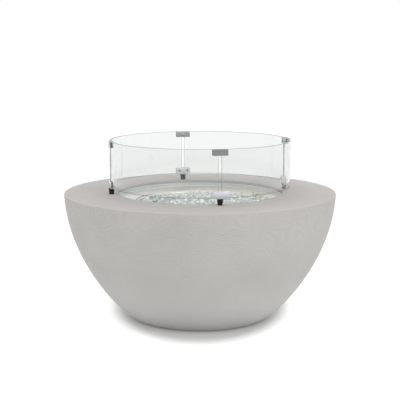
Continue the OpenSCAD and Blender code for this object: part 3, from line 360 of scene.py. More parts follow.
bowl_low, bowl_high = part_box("bowl")
panel_low, panel_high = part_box("control_panel")
rim_r = bowl_high.x
foot_z = bowl_low.z
deck_z = bowl_high.z
foot_r = 0.276
rim_round = 0.003
wall_start = 0.008
wall_lean = 0.0155
wall_pull = 0.245
foot_reach = 0.074
foot_rise = 0.049
wall_t = 0.020
deck_t = 0.024
opening_r = 0.324
mouth_round = 0.003
ledge_z = deck_z - 0.026
ledge_w = 0.019
ledge_t = 0.018
foot_t = 0.024
foot_opening_r = 0.200
notch_w = 0.060
notch_h = 0.042
notch_round = notch_w * 0.499
panel_gap = 0.0015
recess_round = 0.0095
seat_t = 0.018
window_w = 0.124
window_low_z = 0.345
window_high_z = 0.399
window_deep = 0.060
cut_past = 0.05
cut_overlap = 0.001
wall_steps = 84
bowl_steps = 288

wall_top = Vector((rim_r, deck_z - wall_start))
wall_foot = Vector((foot_r, foot_z))
wall = curve_points(wall_top, wall_top - Vector((wall_lean, wall_pull)),
                    wall_foot + Vector((foot_reach, foot_rise)), wall_foot, wall_steps)
wall_inside = [p for p in beside(wall, wall_t) if foot_z + foot_t < p.y < deck_z - deck_t]
ledge_back = opening_r + ledge_w
ledge_low = ledge_z - ledge_t
rim_arc = arc_points((rim_r - rim_round, deck_z - rim_round), rim_round, 90, 0, 8)
mouth_arc = arc_points((opening_r + mouth_round, deck_z - mouth_round), mouth_round, 180, 90, 6)
bowl_outline = [
    *rim_arc, *wall,
    Vector((foot_opening_r, foot_z)), Vector((foot_opening_r, foot_z + foot_t)),
    Vector((wall_inside[-1].x, foot_z + foot_t)), *reversed(wall_inside),
    Vector((wall_inside[0].x, deck_z - deck_t)),
    Vector((ledge_back + ledge_t, deck_z - deck_t)), Vector((ledge_back + ledge_t, ledge_z)),
    Vector((ledge_back, ledge_low)), Vector((opening_r - ledge_w, ledge_low)),
    Vector((opening_r - ledge_w, ledge_z)), Vector((opening_r, ledge_z)), *mouth_arc]
bowl = turned("cast_bowl", bowl_outline, bowl_steps)

recess_low = panel_low - Vector((panel_gap, 0, panel_gap))
recess_high = panel_high + Vector((panel_gap, 0, panel_gap))
seat = block("seat", (recess_low.x - wall_t, panel_low.y - seat_t, recess_low.z - wall_t),
             (recess_high.x + wall_t, rim_r, recess_high.z + wall_t))
wall_form_outline = [Vector((0, deck_z)), *beside(wall, wall_t / 4), Vector((0, foot_z))]
wall_form = turned("wall_form", wall_form_outline, bowl_steps)
carve(seat, "INTERSECT", wall_form)
carve(bowl, "UNION", seat)

recess = block("recess", (recess_low.x, panel_low.y, recess_low.z),
               (recess_high.x, rim_r + cut_past, recess_high.z))
select_edges(recess, runs_inwards)
bpy.ops.mesh.bevel(offset=recess_round, segments=6)
bpy.ops.object.mode_set(mode="OBJECT")
window = block("window", (-window_w / 2, panel_low.y - window_deep, window_low_z),
               (window_w / 2, panel_low.y + cut_overlap, window_high_z))
notch = block("notch", (-notch_w / 2, foot_opening_r - notch_w, foot_z - cut_past),
              (notch_w / 2, rim_r, foot_z + notch_h))
select_edges(notch, lambda a, b: runs_inwards(a, b) and min(a.z, b.z) > foot_z)
bpy.ops.mesh.bevel(offset=notch_round, segments=10)
bpy.ops.object.mode_set(mode="OBJECT")
carve(bowl, "DIFFERENCE", recess, window, notch)
smooth(bowl, 30)

grain_per_m = 62
grain_wander = 13
grain_low_z = 0.15
grain_full_z = 0.48
grain_end_z = deck_z - 0.012
smooth_z = deck_z - 0.004
deck_start_z = deck_z - 0.003
deck_full_z = deck_z - 0.0005
foot_light_top_z = 0.26

concrete, place = new_finish("cast_concrete")
height = place.node("SeparateXYZ", {}, {0: place}, "Z")
clouds = mottle(place, 5, 4, 0.6)
specks = mottle(place, 420, 3, 0.7)
bubble = place.node("TexVoronoi", {}, {"Vector": place, "Scale": 95.0}, "Distance")
pores = (1 - between(bubble, 0.05, 0.13)) * between(mottle(place, 21, 2, 0.6), 0.5, 0.62)
drift = mottle(place, 7.5, 1.5, 0.4)
grain_lines = (height * grain_per_m + drift * grain_wander) * (2 * math.pi)
grain = grain_lines.math("SINE", grain_lines)
on_side = 1 - between(height, grain_end_z, smooth_z)
on_deck = between(height, deck_start_z, deck_full_z)
grain_depth = on_side * (0.22 + 1.1 * between(height, grain_low_z, grain_full_z))
relief = grain * grain_depth * 0.65 + specks * 0.25 - pores * 0.8
# Painted light: the side is painted paler towards the foot, against the shade that falls there.
foot_painted_light = 1 - between(height, 0.0, foot_light_top_z)
tone = (0.5 + (clouds - 0.5) * 1.2 + (specks - 0.5) * 0.35
        + grain * grain_depth * 0.10 - pores * 0.9)
side_colour = mixed(tone, srgb(184, 182, 178), srgb(197, 195, 191))
foot_painted_light_colour = mixed(tone, srgb(205, 204, 202), srgb(214, 213, 211))
# Painted light: the deck is painted paler than the side, as if more light fell on it.
deck_painted_light_colour = mixed(tone, srgb(197, 193, 190), srgb(208, 204, 201))
set_surface(concrete,
            Base_Color=mixed(on_deck, mixed(foot_painted_light, side_colour, foot_painted_light_colour), deck_painted_light_colour),
            Roughness=0.72 + 0.16 * specks,
            Normal=bumped(relief, 0.0005))
put_on(concrete, bowl)
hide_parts("bowl")
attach(bowl, "table")


# Base pads: six discs of moulded black rubber, glued under the base flange. They keep the casting off
# the floor and hide in its shadow.
def copies(piece, name, places):
    """Copies of a piece at several places, joined as one object, in the piece's stead."""
    bpy.ops.object.select_all(action="DESELECT")
    for place in places:
        copy = piece.copy()
        copy.data = piece.data.copy()
        copy.data.transform(place)
        bpy.context.collection.objects.link(copy)
        copy.select_set(True)
        bpy.context.view_layer.objects.active = copy
    bpy.data.objects.remove(piece)
    bpy.ops.object.join()
    joined = bpy.context.object
    joined.name = name
    joined.data.name = name
    return joined


def around(angle):
    """A turn about the table's axis."""
    return Matrix.Rotation(angle, 4, "Z")


pad_low, pad_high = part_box("base_pads")
pad_h = pad_high.z - pad_low.z
pad_r = 0.022
pad_ring_r = (foot_r + foot_opening_r) / 2
pad_count = 6
pad_low_round = 0.0016
pad_top_round = 0.0008

pad_outline = [Vector((0, 0)),
               *arc_points((pad_r - pad_low_round, pad_low_round), pad_low_round, -90, 0, 4),
               *arc_points((pad_r - pad_top_round, pad_h - pad_top_round), pad_top_round, 0, 90, 3),
               Vector((0, pad_h))]
pad = turned("base_pad", pad_outline, 48)
pad_turns = [2 * math.pi * (i + 0.5) / pad_count + math.pi / 2 for i in range(pad_count)]
pads = copies(pad, "rubber_base_pads",
              [around(turn) @ Matrix.Translation((pad_ring_r, 0, 0)) for turn in pad_turns])
smooth(pads, 40)

rubber, place = new_finish("black_rubber")
dust = mottle(place, 90, 4, 0.6)
grain = mottle(place, 1400, 2, 0.6)
set_surface(rubber,
            Base_Color=mixed(between(dust, 0.35, 0.75), srgb(24, 24, 25), srgb(37, 37, 38)),
            Roughness=0.52 + 0.25 * dust,
            Specular_IOR_Level=0.35,
            Normal=bumped(grain, 0.0001, 0.6))
put_on(rubber, pads)
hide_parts("base_pads")
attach(pads, "table")


# Burner pan: one sheet of stainless steel, spun over a former. Its collar with a rolled hem hangs on the
# bowl's ledge, a dished flange falls to a lip, and a steeper wall goes down to the floor with its drains.
def bent(corners, bends, steps):
    """A line through corners, with each corner between its ends bent to a radius."""
    line = [corners[0]]
    for before, corner, after, bend in zip(corners, corners[1:], corners[2:], bends):
        back = (before - corner).normalized()
        on = (after - corner).normalized()
        half = back.angle(on) / 2
        middle = corner + (back + on).normalized() * bend / math.sin(half)
        start = corner + back * bend / math.tan(half) - middle
        end = corner + on * bend / math.tan(half) - middle
        line += [middle + start.lerp(end, i / steps).normalized() * bend for i in range(steps + 1)]
    return line + [corners[-1]]


def drill(x, y, low_z, high_z, radius):
    """A round tool for an upright hole."""
    return turned("drill", [Vector((0, low_z)), Vector((radius, low_z)), Vector((radius, high_z)),
                            Vector((0, high_z))], drill_sides, (x, y))


pan_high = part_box("burner_pan")[1]
collar_r = pan_high.x
pan_floor_z = deck_z - 0.080
sheet_t = 0.0015
hem_roll = 0.0024
hem_roll_deg = 290
flange_gap = 0.001
flange_r = opening_r - ledge_w - flange_gap
lip_r = 0.249
lip_z = deck_z - 0.038
pan_floor_r = 0.236
collar_bend = 0.0035
flange_bend = 0.008
lip_bend = 0.0022
floor_bend = 0.008
upright_t = sheet_t * 1.05
groove_r = 0.2505
groove_w = 0.0040
groove_deep = 0.0011
nipple_hole_r = 0.0115
drain_ring_r = 0.215
drain_r = 0.004
drain_count = 8
sensor_hole_r = 0.005
sensor_place = Vector((0.014, 0.196))
drill_below = 0.003
drill_above = 0.005
drill_sides = 30
pan_steps = 240

hem_middle = Vector((collar_r - hem_roll, pan_high.z - hem_roll))
pan_under = bent(
    [Vector((collar_r, hem_middle.y)), Vector((collar_r, ledge_z)), Vector((flange_r, ledge_z)),
     Vector((lip_r, lip_z)), Vector((pan_floor_r, pan_floor_z)), Vector((nipple_hole_r, pan_floor_z))],
    [collar_bend, flange_bend, lip_bend, floor_bend], 6)
pan_top = beside(pan_under, sheet_t)
flange_fall = (ledge_z - lip_z) / (flange_r - lip_r)

# The groove is pressed into the flange's upper face. On that slope the sheet measures upright_t upright.
groove = []
for across, deep in ((groove_w, 0), (groove_w * 0.8, groove_deep), (groove_w * 0.2, groove_deep), (0, 0)):
    away = groove_r + across
    groove.append(Vector((away, lip_z + upright_t + flange_fall * (away - lip_r) - deep)))
flange_top = [p for p in pan_top[1:] if p.x > groove_r + groove_w]
wall_top_line = [p for p in pan_top[1:] if p.x < groove_r]
hem = arc_points(hem_middle, hem_roll, 0, hem_roll_deg, 16)
pan_outline = [*hem, *flange_top, *groove, *wall_top_line, *reversed(pan_under[1:])]
pan = turned("spun_burner_pan", pan_outline, pan_steps)
pan_holes = []
for i in range(drain_count):
    drain_turn = 2 * math.pi * (i + 0.5) / drain_count
    pan_holes.append((drain_ring_r * math.cos(drain_turn), drain_ring_r * math.sin(drain_turn), drain_r))
for side in (-1, 1):
    pan_holes.append((side * sensor_place.x, sensor_place.y, sensor_hole_r))
for x, y, radius in pan_holes:
    carve(pan, "DIFFERENCE", drill(x, y, pan_floor_z - drill_below, pan_floor_z + drill_above, radius))
smooth(pan, 35)

spin_lines_per_m = 900
collar_start_z = ledge_z + 0.001
collar_full_z = ledge_z + 0.006
groove_shadow_full_x = -0.21
groove_shadow_end_x = -0.17
straw_start_x = -0.29
straw_full_x = -0.10

pan_steel, place = new_finish("pan_steel")
across = place.node("SeparateXYZ", {}, {0: place}, "X")
inwards = place.node("SeparateXYZ", {}, {0: place}, "Y")
height = place.node("SeparateXYZ", {}, {0: place}, "Z")
from_axis = across.math("SQRT", across * across + inwards * inwards)
spun = place.node("CombineXYZ", {}, {0: from_axis * spin_lines_per_m, 1: height * spin_lines_per_m})
rings = mottle(spun, 1, 3, 0.65)
stain = mottle(place, 14, 4, 0.6)
on_collar = between(height, collar_start_z, collar_full_z)
bright = rings * 0.6 + stain * 0.4
off_groove = from_axis - groove_r - groove_w / 2
on_groove = 1 - between(off_groove.math("ABSOLUTE", off_groove), groove_w * 0.4, groove_w * 0.6)
# Painted shadow: a dark line is painted along the groove, at the left of the flange only.
dark_marks = on_groove * (1 - between(across, groove_shadow_full_x, groove_shadow_end_x))
# Painted reflection: the flange is pale and neutral at the left. From there on it has a straw heat tint.
straw_share = between(across, straw_start_x, straw_full_x)
left_painted_reflection_steel = mixed(bright, srgb(232, 233, 230), srgb(251, 252, 249))
heat_straw = mixed(bright, srgb(226, 224, 213), srgb(248, 246, 236))
flange_steel = mixed(dark_marks, mixed(straw_share, left_painted_reflection_steel, heat_straw), srgb(112, 114, 106))
cool_steel = mixed(bright, srgb(208, 210, 213), srgb(234, 236, 238))
set_surface(pan_steel,
            Base_Color=mixed(on_collar, flange_steel, cool_steel),
            Metallic=1.0,
            Roughness=0.30 + 0.14 * rings + 0.08 * stain,
            Normal=bumped(rings, 0.00008, 0.5))
put_on(pan_steel, pan)
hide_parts("burner_pan")
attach(pan, "table")


# Ring burner and sensors: welded stainless tubes, dulled and tinted by heat, under the fire glass. The
# bracket carries a spark electrode in a fired ceramic sleeve and the tip of the thermocouple.
def streaks(place, along, across):
    """Fine lines along X, as brushing or drawing leaves them."""
    stretched = place.node("Mapping", {}, {"Vector": place, "Scale": (along, across, across)})
    return mottle(stretched, 1, 3, 0.6)


burner_steel, place = new_finish("burner_steel")
heat = mottle(place, 11, 4, 0.6)
scale = mottle(place, 240, 3, 0.65)
set_surface(burner_steel,
            Base_Color=mixed(between(heat, 0.35, 0.7), srgb(150, 146, 140), srgb(118, 108, 100)),
            Metallic=1.0,
            Roughness=0.34 + 0.22 * scale,
            Normal=bumped(scale, 0.00015, 0.4))
put_on(burner_steel, "ring_burner", "sensor_bracket", "thermocouple")

ceramic, place = new_finish("white_ceramic")
# Soot darkens the sleeve in patches.
dark_marks = mottle(place, 160, 4, 0.6)
set_surface(ceramic,
            Base_Color=mixed(between(dark_marks, 0.45, 0.8), srgb(232, 228, 218), srgb(203, 194, 178)),
            Roughness=0.28 + 0.3 * dark_marks,
            Normal=bumped(dark_marks, 0.0001, 0.3))
put_on(ceramic, "electrode_ceramic")

lead_rubber, place = new_finish("lead_rubber")
talc = mottle(place, 130, 3, 0.6)
set_surface(lead_rubber,
            Base_Color=mixed(between(talc, 0.4, 0.75), srgb(62, 56, 56), srgb(82, 77, 76)),
            Roughness=0.4 + 0.25 * talc,
            Normal=bumped(talc, 0.0001, 0.4))
put_on(lead_rubber, "ignition_lead")


# Gas train: a die-cast valve, machined brass fittings and a corrugated steel hose, which hang under the
# pan inside the bowl. The hose is screwed to the valve and the air mixer by flare nuts.
brass, place = new_finish("fitting_brass")
tarnish = mottle(place, 45, 4, 0.6)
turning = streaks(place, 600, 600)
set_surface(brass,
            Base_Color=mixed(between(tarnish, 0.35, 0.75), srgb(214, 180, 112), srgb(176, 139, 78)),
            Metallic=1.0,
            Roughness=0.24 + 0.2 * tarnish + 0.08 * turning,
            Normal=bumped(turning, 0.00006, 0.4))
put_on(brass, "burner_locknut", "air_mixer", "gas_orifice", "hose_nuts", "inlet_fitting", "valve_plunger",
       "thermocouple_lead")

hose_steel, place = new_finish("hose_steel")
grime = mottle(place, 60, 4, 0.6)
set_surface(hose_steel,
            Base_Color=mixed(grime, srgb(150, 151, 150), srgb(205, 205, 203)),
            Metallic=1.0,
            Roughness=0.26 + 0.22 * grime,
            Normal=bumped(mottle(place, 700, 2, 0.6), 0.00008, 0.4))
put_on(hose_steel, "gas_hose")

valve_alloy, place = new_finish("valve_alloy")
skin = mottle(place, 320, 3, 0.7)
flow = mottle(place, 26, 4, 0.6)
set_surface(valve_alloy,
            Base_Color=mixed(flow, srgb(168, 168, 164), srgb(203, 203, 199)),
            Metallic=0.9,
            Roughness=0.42 + 0.22 * skin,
            Normal=bumped(skin, 0.0003, 0.5))
put_on(valve_alloy, "gas_valve")

screw_steel, place = new_finish("screw_steel")
turning = streaks(place, 500, 900)
set_surface(screw_steel,
            Base_Color=mixed(turning, srgb(158, 159, 161), srgb(190, 191, 193)),
            Metallic=1.0,
            Roughness=0.16 + 0.2 * turning,
            Normal=bumped(turning, 0.00005, 0.4))
put_on(screw_steel, "valve_screws", "panel_screws", "valve_stem", "electrode_pin", "foot_screws")


# Controls: a brushed stainless plate screwed into the recess at the back, with a moulded black knob on
# the valve's stem and a push-button igniter that holds a battery.
panel_steel, place = new_finish("panel_steel")
brushing = streaks(place, 14, 1300)
handling = mottle(place, 30, 4, 0.6)
set_surface(panel_steel,
            Base_Color=mixed(brushing * 0.7 + handling * 0.3, srgb(178, 180, 182), srgb(215, 216, 218)),
            Metallic=1.0,
            Roughness=0.2 + 0.2 * brushing + 0.08 * handling,
            Normal=bumped(brushing, 0.00008, 0.5))
put_on(panel_steel, "control_panel", "knob_bezel")

black_plastic, place = new_finish("black_plastic")
spark_marks = mottle(place, 1100, 2, 0.6)
wear = mottle(place, 60, 4, 0.6)
set_surface(black_plastic,
            Base_Color=mixed(between(wear, 0.35, 0.8), srgb(26, 26, 27), srgb(40, 40, 41)),
            Roughness=0.36 + 0.2 * wear,
            Normal=bumped(spark_marks, 0.00012, 0.5))
put_on(black_plastic, "control_knob", "igniter_body", "igniter_nut", "igniter_button")

battery_can, place = new_finish("battery_can")
scuffs = mottle(place, 90, 4, 0.65)
set_surface(battery_can,
            Base_Color=mixed(between(scuffs, 0.4, 0.75), srgb(124, 127, 130), srgb(150, 152, 154)),
            Metallic=0.5,
            Roughness=0.26 + 0.25 * scuffs,
            Normal=bumped(scuffs, 0.00005, 0.4))
put_on(battery_can, "igniter_battery")


# Fire glass: clear tempered glass crushed to chips with a faint green tint, poured over the burner and
# heaped at the left. A few chips have rolled up on the pan's flange at the right.
def shard(name, length, draws):
    """One chip: a block with its corners and faces broken off at random."""
    half = Vector((length, length * draws.uniform(0.6, 0.85), length * draws.uniform(0.45, 0.65))) / 2
    piece = block(name, -half, half)
    bpy.ops.object.mode_set(mode="EDIT")
    for i in range(6):
        way = Vector((draws.gauss(0, 1), draws.gauss(0, 1), draws.gauss(0, 1))).normalized()
        reach = sum(abs(w) * h for w, h in zip(way, half))
        bpy.ops.mesh.select_all(action="SELECT")
        bpy.ops.mesh.bisect(plane_co=way * reach * draws.uniform(0.42, 0.68), plane_no=way,
                            use_fill=True, clear_outer=True)
    bpy.ops.mesh.select_all(action="SELECT")
    bpy.ops.mesh.remove_doubles(threshold=length / 60)
    bpy.ops.mesh.normals_make_consistent(inside=False)
    bpy.ops.object.mode_set(mode="OBJECT")
    return piece


def bed_height(x, y):
    """The height of the poured glass at a place."""
    away = math.hypot(x, y)
    bed = bed_top - (bed_top - bed_edge) * max(0.0, (away - bed_flat_r) / (bed_edge_r - bed_flat_r))
    heap = heap_h * math.exp(-((x - heap_middle.x) ** 2 + (y - heap_middle.y) ** 2) / heap_spread ** 2)
    for mound_x, mound_y, mound_h in mound_places:
        bed += mound_h * math.exp(-((x - mound_x) ** 2 + (y - mound_y) ** 2) / mound_spread ** 2)
    return bed + heap


def lay(kind, spot, lean):
    """Adds a copy of one chip to the bed."""
    first = len(corners)
    turn = lean.to_matrix()
    corners.extend(turn @ v.co + spot for v in shards[kind].data.vertices)
    faces.extend([first + i for i in face.vertices] for face in shards[kind].data.polygons)
    shade = draws.random()
    tints_and_glints.extend(0.6 * shade + 0.4 * draws.random() for face in shards[kind].data.polygons)


bed_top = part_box("fire_glass_fill")[1].z
bed_flat_r = 0.140
bed_edge = deck_z - 0.050
bed_edge_r = 0.2435
heap_h = 0.014
heap_middle = Vector((-0.165, 0.02))
heap_spread = 0.09
mound_count = 90
mound_reach = 0.235
mound_low = -0.003
mound_high = 0.004
mound_spread = 0.022
chip_sizes = [0.010, 0.012, 0.013, 0.0145, 0.0155, 0.0165, 0.018, 0.019, 0.0205, 0.022]
chip_count = 2300
chip_reach = bed_edge_r - 0.007
chip_low = -0.004
chip_high = 0.003
chip_turn = math.pi * (3 - math.sqrt(5))
chip_turn_play = 0.4
loose_count = 44
loose_kinds = 5
loose_first_deg = -75
loose_last_deg = 60
loose_most_deg = -22
loose_start_r = lip_r + 0.001
loose_spread = 0.009
loose_reach = 0.024
loose_lift = 0.0036

draws = random.Random(41)
mound_places = []
for i in range(mound_count):
    turn = draws.uniform(0, 2 * math.pi)
    away = mound_reach * math.sqrt(draws.random())
    mound_h = draws.uniform(mound_low, mound_high)
    mound_places.append((away * math.cos(turn), away * math.sin(turn), mound_h))
shards = [shard("chip", size, draws) for size in chip_sizes]

# The chips follow a spiral with a steady turn from one to the next, which covers the bed evenly.
corners = []
faces = []
tints_and_glints = []
for i in range(chip_count):
    kind = draws.randrange(len(shards))
    away = chip_reach * math.sqrt((i + draws.random()) / chip_count)
    turn = i * chip_turn + draws.uniform(-chip_turn_play, chip_turn_play)
    x = away * math.cos(turn)
    y = away * math.sin(turn)
    axis = Vector((draws.gauss(0, 1), draws.gauss(0, 1), draws.gauss(0, 1))).normalized()
    spot = Vector((x, y, bed_height(x, y) + draws.uniform(chip_low, chip_high)))
    lay(kind, spot, Matrix.Rotation(draws.uniform(0, 2 * math.pi), 3, axis).to_quaternion())
for i in range(loose_count):
    turn = math.radians(draws.triangular(loose_first_deg, loose_last_deg, loose_most_deg))
    away = loose_start_r + min(abs(draws.gauss(0, loose_spread)), loose_reach)
    spot = Vector((away * math.cos(turn), away * math.sin(turn),
                   lip_z + sheet_t + flange_fall * (away - lip_r) + loose_lift))
    kind = draws.randrange(loose_kinds)
    lay(kind, spot, Matrix.Rotation(draws.uniform(0, 2 * math.pi), 3, "Z").to_quaternion())

chips = bpy.data.objects.new("fire_glass_chips_poured", bpy.data.meshes.new("fire_glass_chips_poured"))
bpy.context.collection.objects.link(chips)
chips.data.from_pydata(corners, [], faces)
chips.data.attributes.new("tint_and_glint", "FLOAT", "FACE").data.foreach_set("value", tints_and_glints)
for piece in shards:
    bpy.data.objects.remove(piece)

# Each face has a random value. Low values show the glass's green tint, the rest are painted white as
# painted glints, and the highest also mirror the studio, as clean breaks do.
fire_glass, place = new_finish("fire_glass")
tint_and_glint = place.node("Attribute", {"attribute_name": "tint_and_glint"}, {}, "Fac")
crazing = mottle(place, 500, 2, 0.6)
set_surface(fire_glass,
            Base_Color=mixed(between(tint_and_glint, 0.1, 0.5), srgb(208, 231, 219), srgb(255, 255, 254)),
            Metallic=between(tint_and_glint, 0.64, 0.70),
            Roughness=0.02 + 0.10 * crazing,
            IOR=1.5,
            Alpha=0.70,
            Normal=bumped(crazing, 0.0002, 0.3))
put_on(fire_glass, chips)
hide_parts("fire_glass_chips")
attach(chips, "table")

glass_bed, place = new_finish("fire_glass_bed")
lumps = place.node("TexVoronoi", {}, {"Vector": place, "Scale": 85}, "Color")
lump = lumps.node("SeparateColor", {}, {0: lumps}, 0)
set_surface(glass_bed,
            Base_Color=mixed(lump, srgb(228, 240, 233), srgb(255, 255, 254)),
            Roughness=0.12 + 0.3 * lump,
            Normal=bumped(lump, 0.002, 0.8))
put_on(glass_bed, "fire_glass_fill")


# Guard glass: four panels of clear tempered glass, curved to a circle, with ground edges and four drilled
# holes each. They stand on the clips' shelves with a gap at every seam.
def swept(name, outline, first, last, steps):
    """A bar with an outline of radius and height, swept round the table's axis between two angles."""
    piece = outline_wire(name, outline)
    bpy.ops.mesh.edge_face_add()
    bpy.ops.mesh.spin(steps=steps, angle=last - first, center=(0, 0, 0), axis=(0, 0, -1))
    bpy.ops.mesh.select_all(action="SELECT")
    bpy.ops.mesh.normals_make_consistent(inside=False)
    bpy.ops.object.mode_set(mode="OBJECT")
    piece.data.transform(around(first))
    return piece


def bevelled(piece, width, segments):
    """Rounds a piece's sharp edges."""
    bpy.ops.object.select_all(action="DESELECT")
    bpy.context.view_layer.objects.active = piece
    work = piece.modifiers.new("work", "BEVEL")
    work.width = width
    work.segments = segments
    work.limit_method = "ANGLE"
    work.angle_limit = math.radians(35)
    bpy.ops.object.modifier_apply(modifier=work.name)


def rectangle(inside_r, outside_r, low_z, high_z):
    """The outline of a rectangular bar."""
    return [Vector((inside_r, low_z)), Vector((outside_r, low_z)),
            Vector((outside_r, high_z)), Vector((inside_r, high_z))]


def outward_drill(radius, start_r, end_r, angle, z):
    """A round tool for a hole that points away from the table's axis."""
    tool = turned("drill", [Vector((0, start_r)), Vector((radius, start_r)), Vector((radius, end_r)),
                            Vector((0, end_r))], bore_sides)
    lying = Matrix.Translation((0, 0, z)) @ Matrix.Rotation(math.pi / 2, 4, "Y")
    tool.data.transform(around(angle) @ lying)
    return tool


pane_low, pane_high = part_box("guard_glass_1")
guard_r = pane_high.x
pane_z = pane_low.z
pane_top = pane_high.z
pane_t = 0.008
pane_ground = 0.0008
seam_gap = 0.012
pane_hole_r = 0.007
pane_steps = 72
bore_sides = 40
drill_past = 0.01
gasket_t = 0.0015
clip_t = 0.003
top_clip_h = 0.0235
bottom_clip_h = 0.028
screw_pitch = 0.035
shelf_z = pane_z - clip_t
top_screw_z = pane_top - top_clip_h / 2
bottom_screw_z = pane_z + (bottom_clip_h - clip_t) / 2
pane_inside_r = guard_r - pane_t
screw_turn = screw_pitch / 2 / (guard_r - pane_t / 2)

foot_boxes = [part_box(f"guard_foot_{i + 1}") for i in range(4)]
foot_places = [(low + high) / 2 for low, high in foot_boxes]
seam_turns = [math.atan2(spot.y, spot.x) for spot in foot_places]

half_gap = seam_gap / guard_r / 2
pane = swept("pane", rectangle(pane_inside_r, guard_r, pane_z, pane_top),
             half_gap, math.pi / 2 - half_gap, pane_steps)
bevelled(pane, pane_ground, 1)

# Cuts along the clips' edges keep the faces round the holes from running the whole height of the pane.
for z in (pane_top - top_clip_h, pane_z + bottom_clip_h - clip_t):
    bpy.ops.object.mode_set(mode="EDIT")
    bpy.ops.mesh.select_all(action="SELECT")
    bpy.ops.mesh.bisect(plane_co=(0, 0, z), plane_no=(0, 0, 1))
    bpy.ops.object.mode_set(mode="OBJECT")
for angle in (screw_turn, math.pi / 2 - screw_turn):
    for z in (top_screw_z, bottom_screw_z):
        hole = outward_drill(pane_hole_r, pane_inside_r - drill_past, guard_r + drill_past, angle, z)
        carve(pane, "DIFFERENCE", hole)

# The broad faces are clear and the edges ground. The narrow chamfers beside a seam are nearly clear.
broad_facing = 0.9
chamfer_facing = 0.4
upright_tilt = 0.3
seam_chamfer_ground = 0.25
ground = []
for face in pane.data.polygons:
    away = Vector((face.center.x, face.center.y, 0)).normalized()
    facing = abs(face.normal.dot(away))
    upright = abs(face.normal.z) < upright_tilt
    if facing > broad_facing:
        ground.append(0.0)
    elif facing > chamfer_facing and upright:
        ground.append(seam_chamfer_ground)
    else:
        ground.append(1.0)
pane.data.attributes.new("ground_edge", "FLOAT", "FACE").data.foreach_set("value", ground)
smooth(pane, 25)

guard_glass, place = new_finish("guard_glass")
edge = place.node("Attribute", {"attribute_name": "ground_edge"}, {}, "Fac")
film = mottle(place, 9, 3, 0.5)
set_surface(guard_glass,
            Base_Color=srgb(242, 244, 243),
            Roughness=0.004 + 0.006 * film,
            IOR=1.5,
            Transmission_Weight=1.0)
clear = Socket(guard_glass.node_tree, guard_glass.node_tree.nodes["Principled BSDF"].outputs[0])
ground_glass = place.node("BsdfPrincipled", {}, {"Base Color": srgb(146, 160, 154), "Roughness": 0.35})
both = place.node("MixShader", {}, {0: edge, 1: clear, 2: ground_glass})
glass_output = guard_glass.node_tree.nodes["Material Output"]
guard_glass.node_tree.links.new(both.output, glass_output.inputs["Surface"])
for i, turn in enumerate(seam_turns):
    pane_copy = copies(pane.copy(), f"guard_pane_{i + 1}", [around(turn)])
    put_on(guard_glass, pane_copy)
    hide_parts(f"guard_glass_{i + 1}")
    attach(pane_copy, "wind_guard")
bpy.data.objects.remove(pane)


# Guard clips: satin stainless plates under a clear lacquer, cut and rolled to the glass. At each seam an
# outer and an inner plate grip two panels over clear gaskets, and the lower outer plate turns in as a
# shelf under the glass.
def corner_edges(half_turn):
    """A test for the four short edges at a curved plate's corners."""
    def at_corner(a, b):
        turns = [abs(math.atan2(p.y, p.x)) for p in (a, b)]
        return min(turns) > half_turn - 1e-4 and abs(a.z - b.z) < 1e-6
    return at_corner


def cut_slant(piece, half_w, radius, side):
    """Cuts a lower corner off a curved plate."""
    turn = side * half_w / radius
    out = Vector((math.cos(turn), math.sin(turn), 0))
    across = Vector((-out.y, out.x, 0)) * side
    spot = radius * out + Vector((0, 0, shelf_z + slant_h))
    bpy.ops.object.select_all(action="DESELECT")
    bpy.context.view_layer.objects.active = piece
    bpy.ops.object.mode_set(mode="EDIT")
    bpy.ops.mesh.select_all(action="SELECT")
    bpy.ops.mesh.bisect(plane_co=spot, plane_no=(across * slant_h - Vector((0, 0, slant_w))).normalized(),
                        use_fill=True, clear_outer=True)
    bpy.ops.object.mode_set(mode="OBJECT")


top_clip_w = 0.0575
bottom_clip_w = 0.060
slant_w = 0.007
slant_h = 0.010
clip_round = 0.002
clip_edge = 0.0004
sink_r = 0.0053
sink_deep = clip_t * 0.6
shelf_gap = 0.0001
clip_steps = 12
outer_plate_r = guard_r + gasket_t
inner_plate_r = pane_inside_r - gasket_t
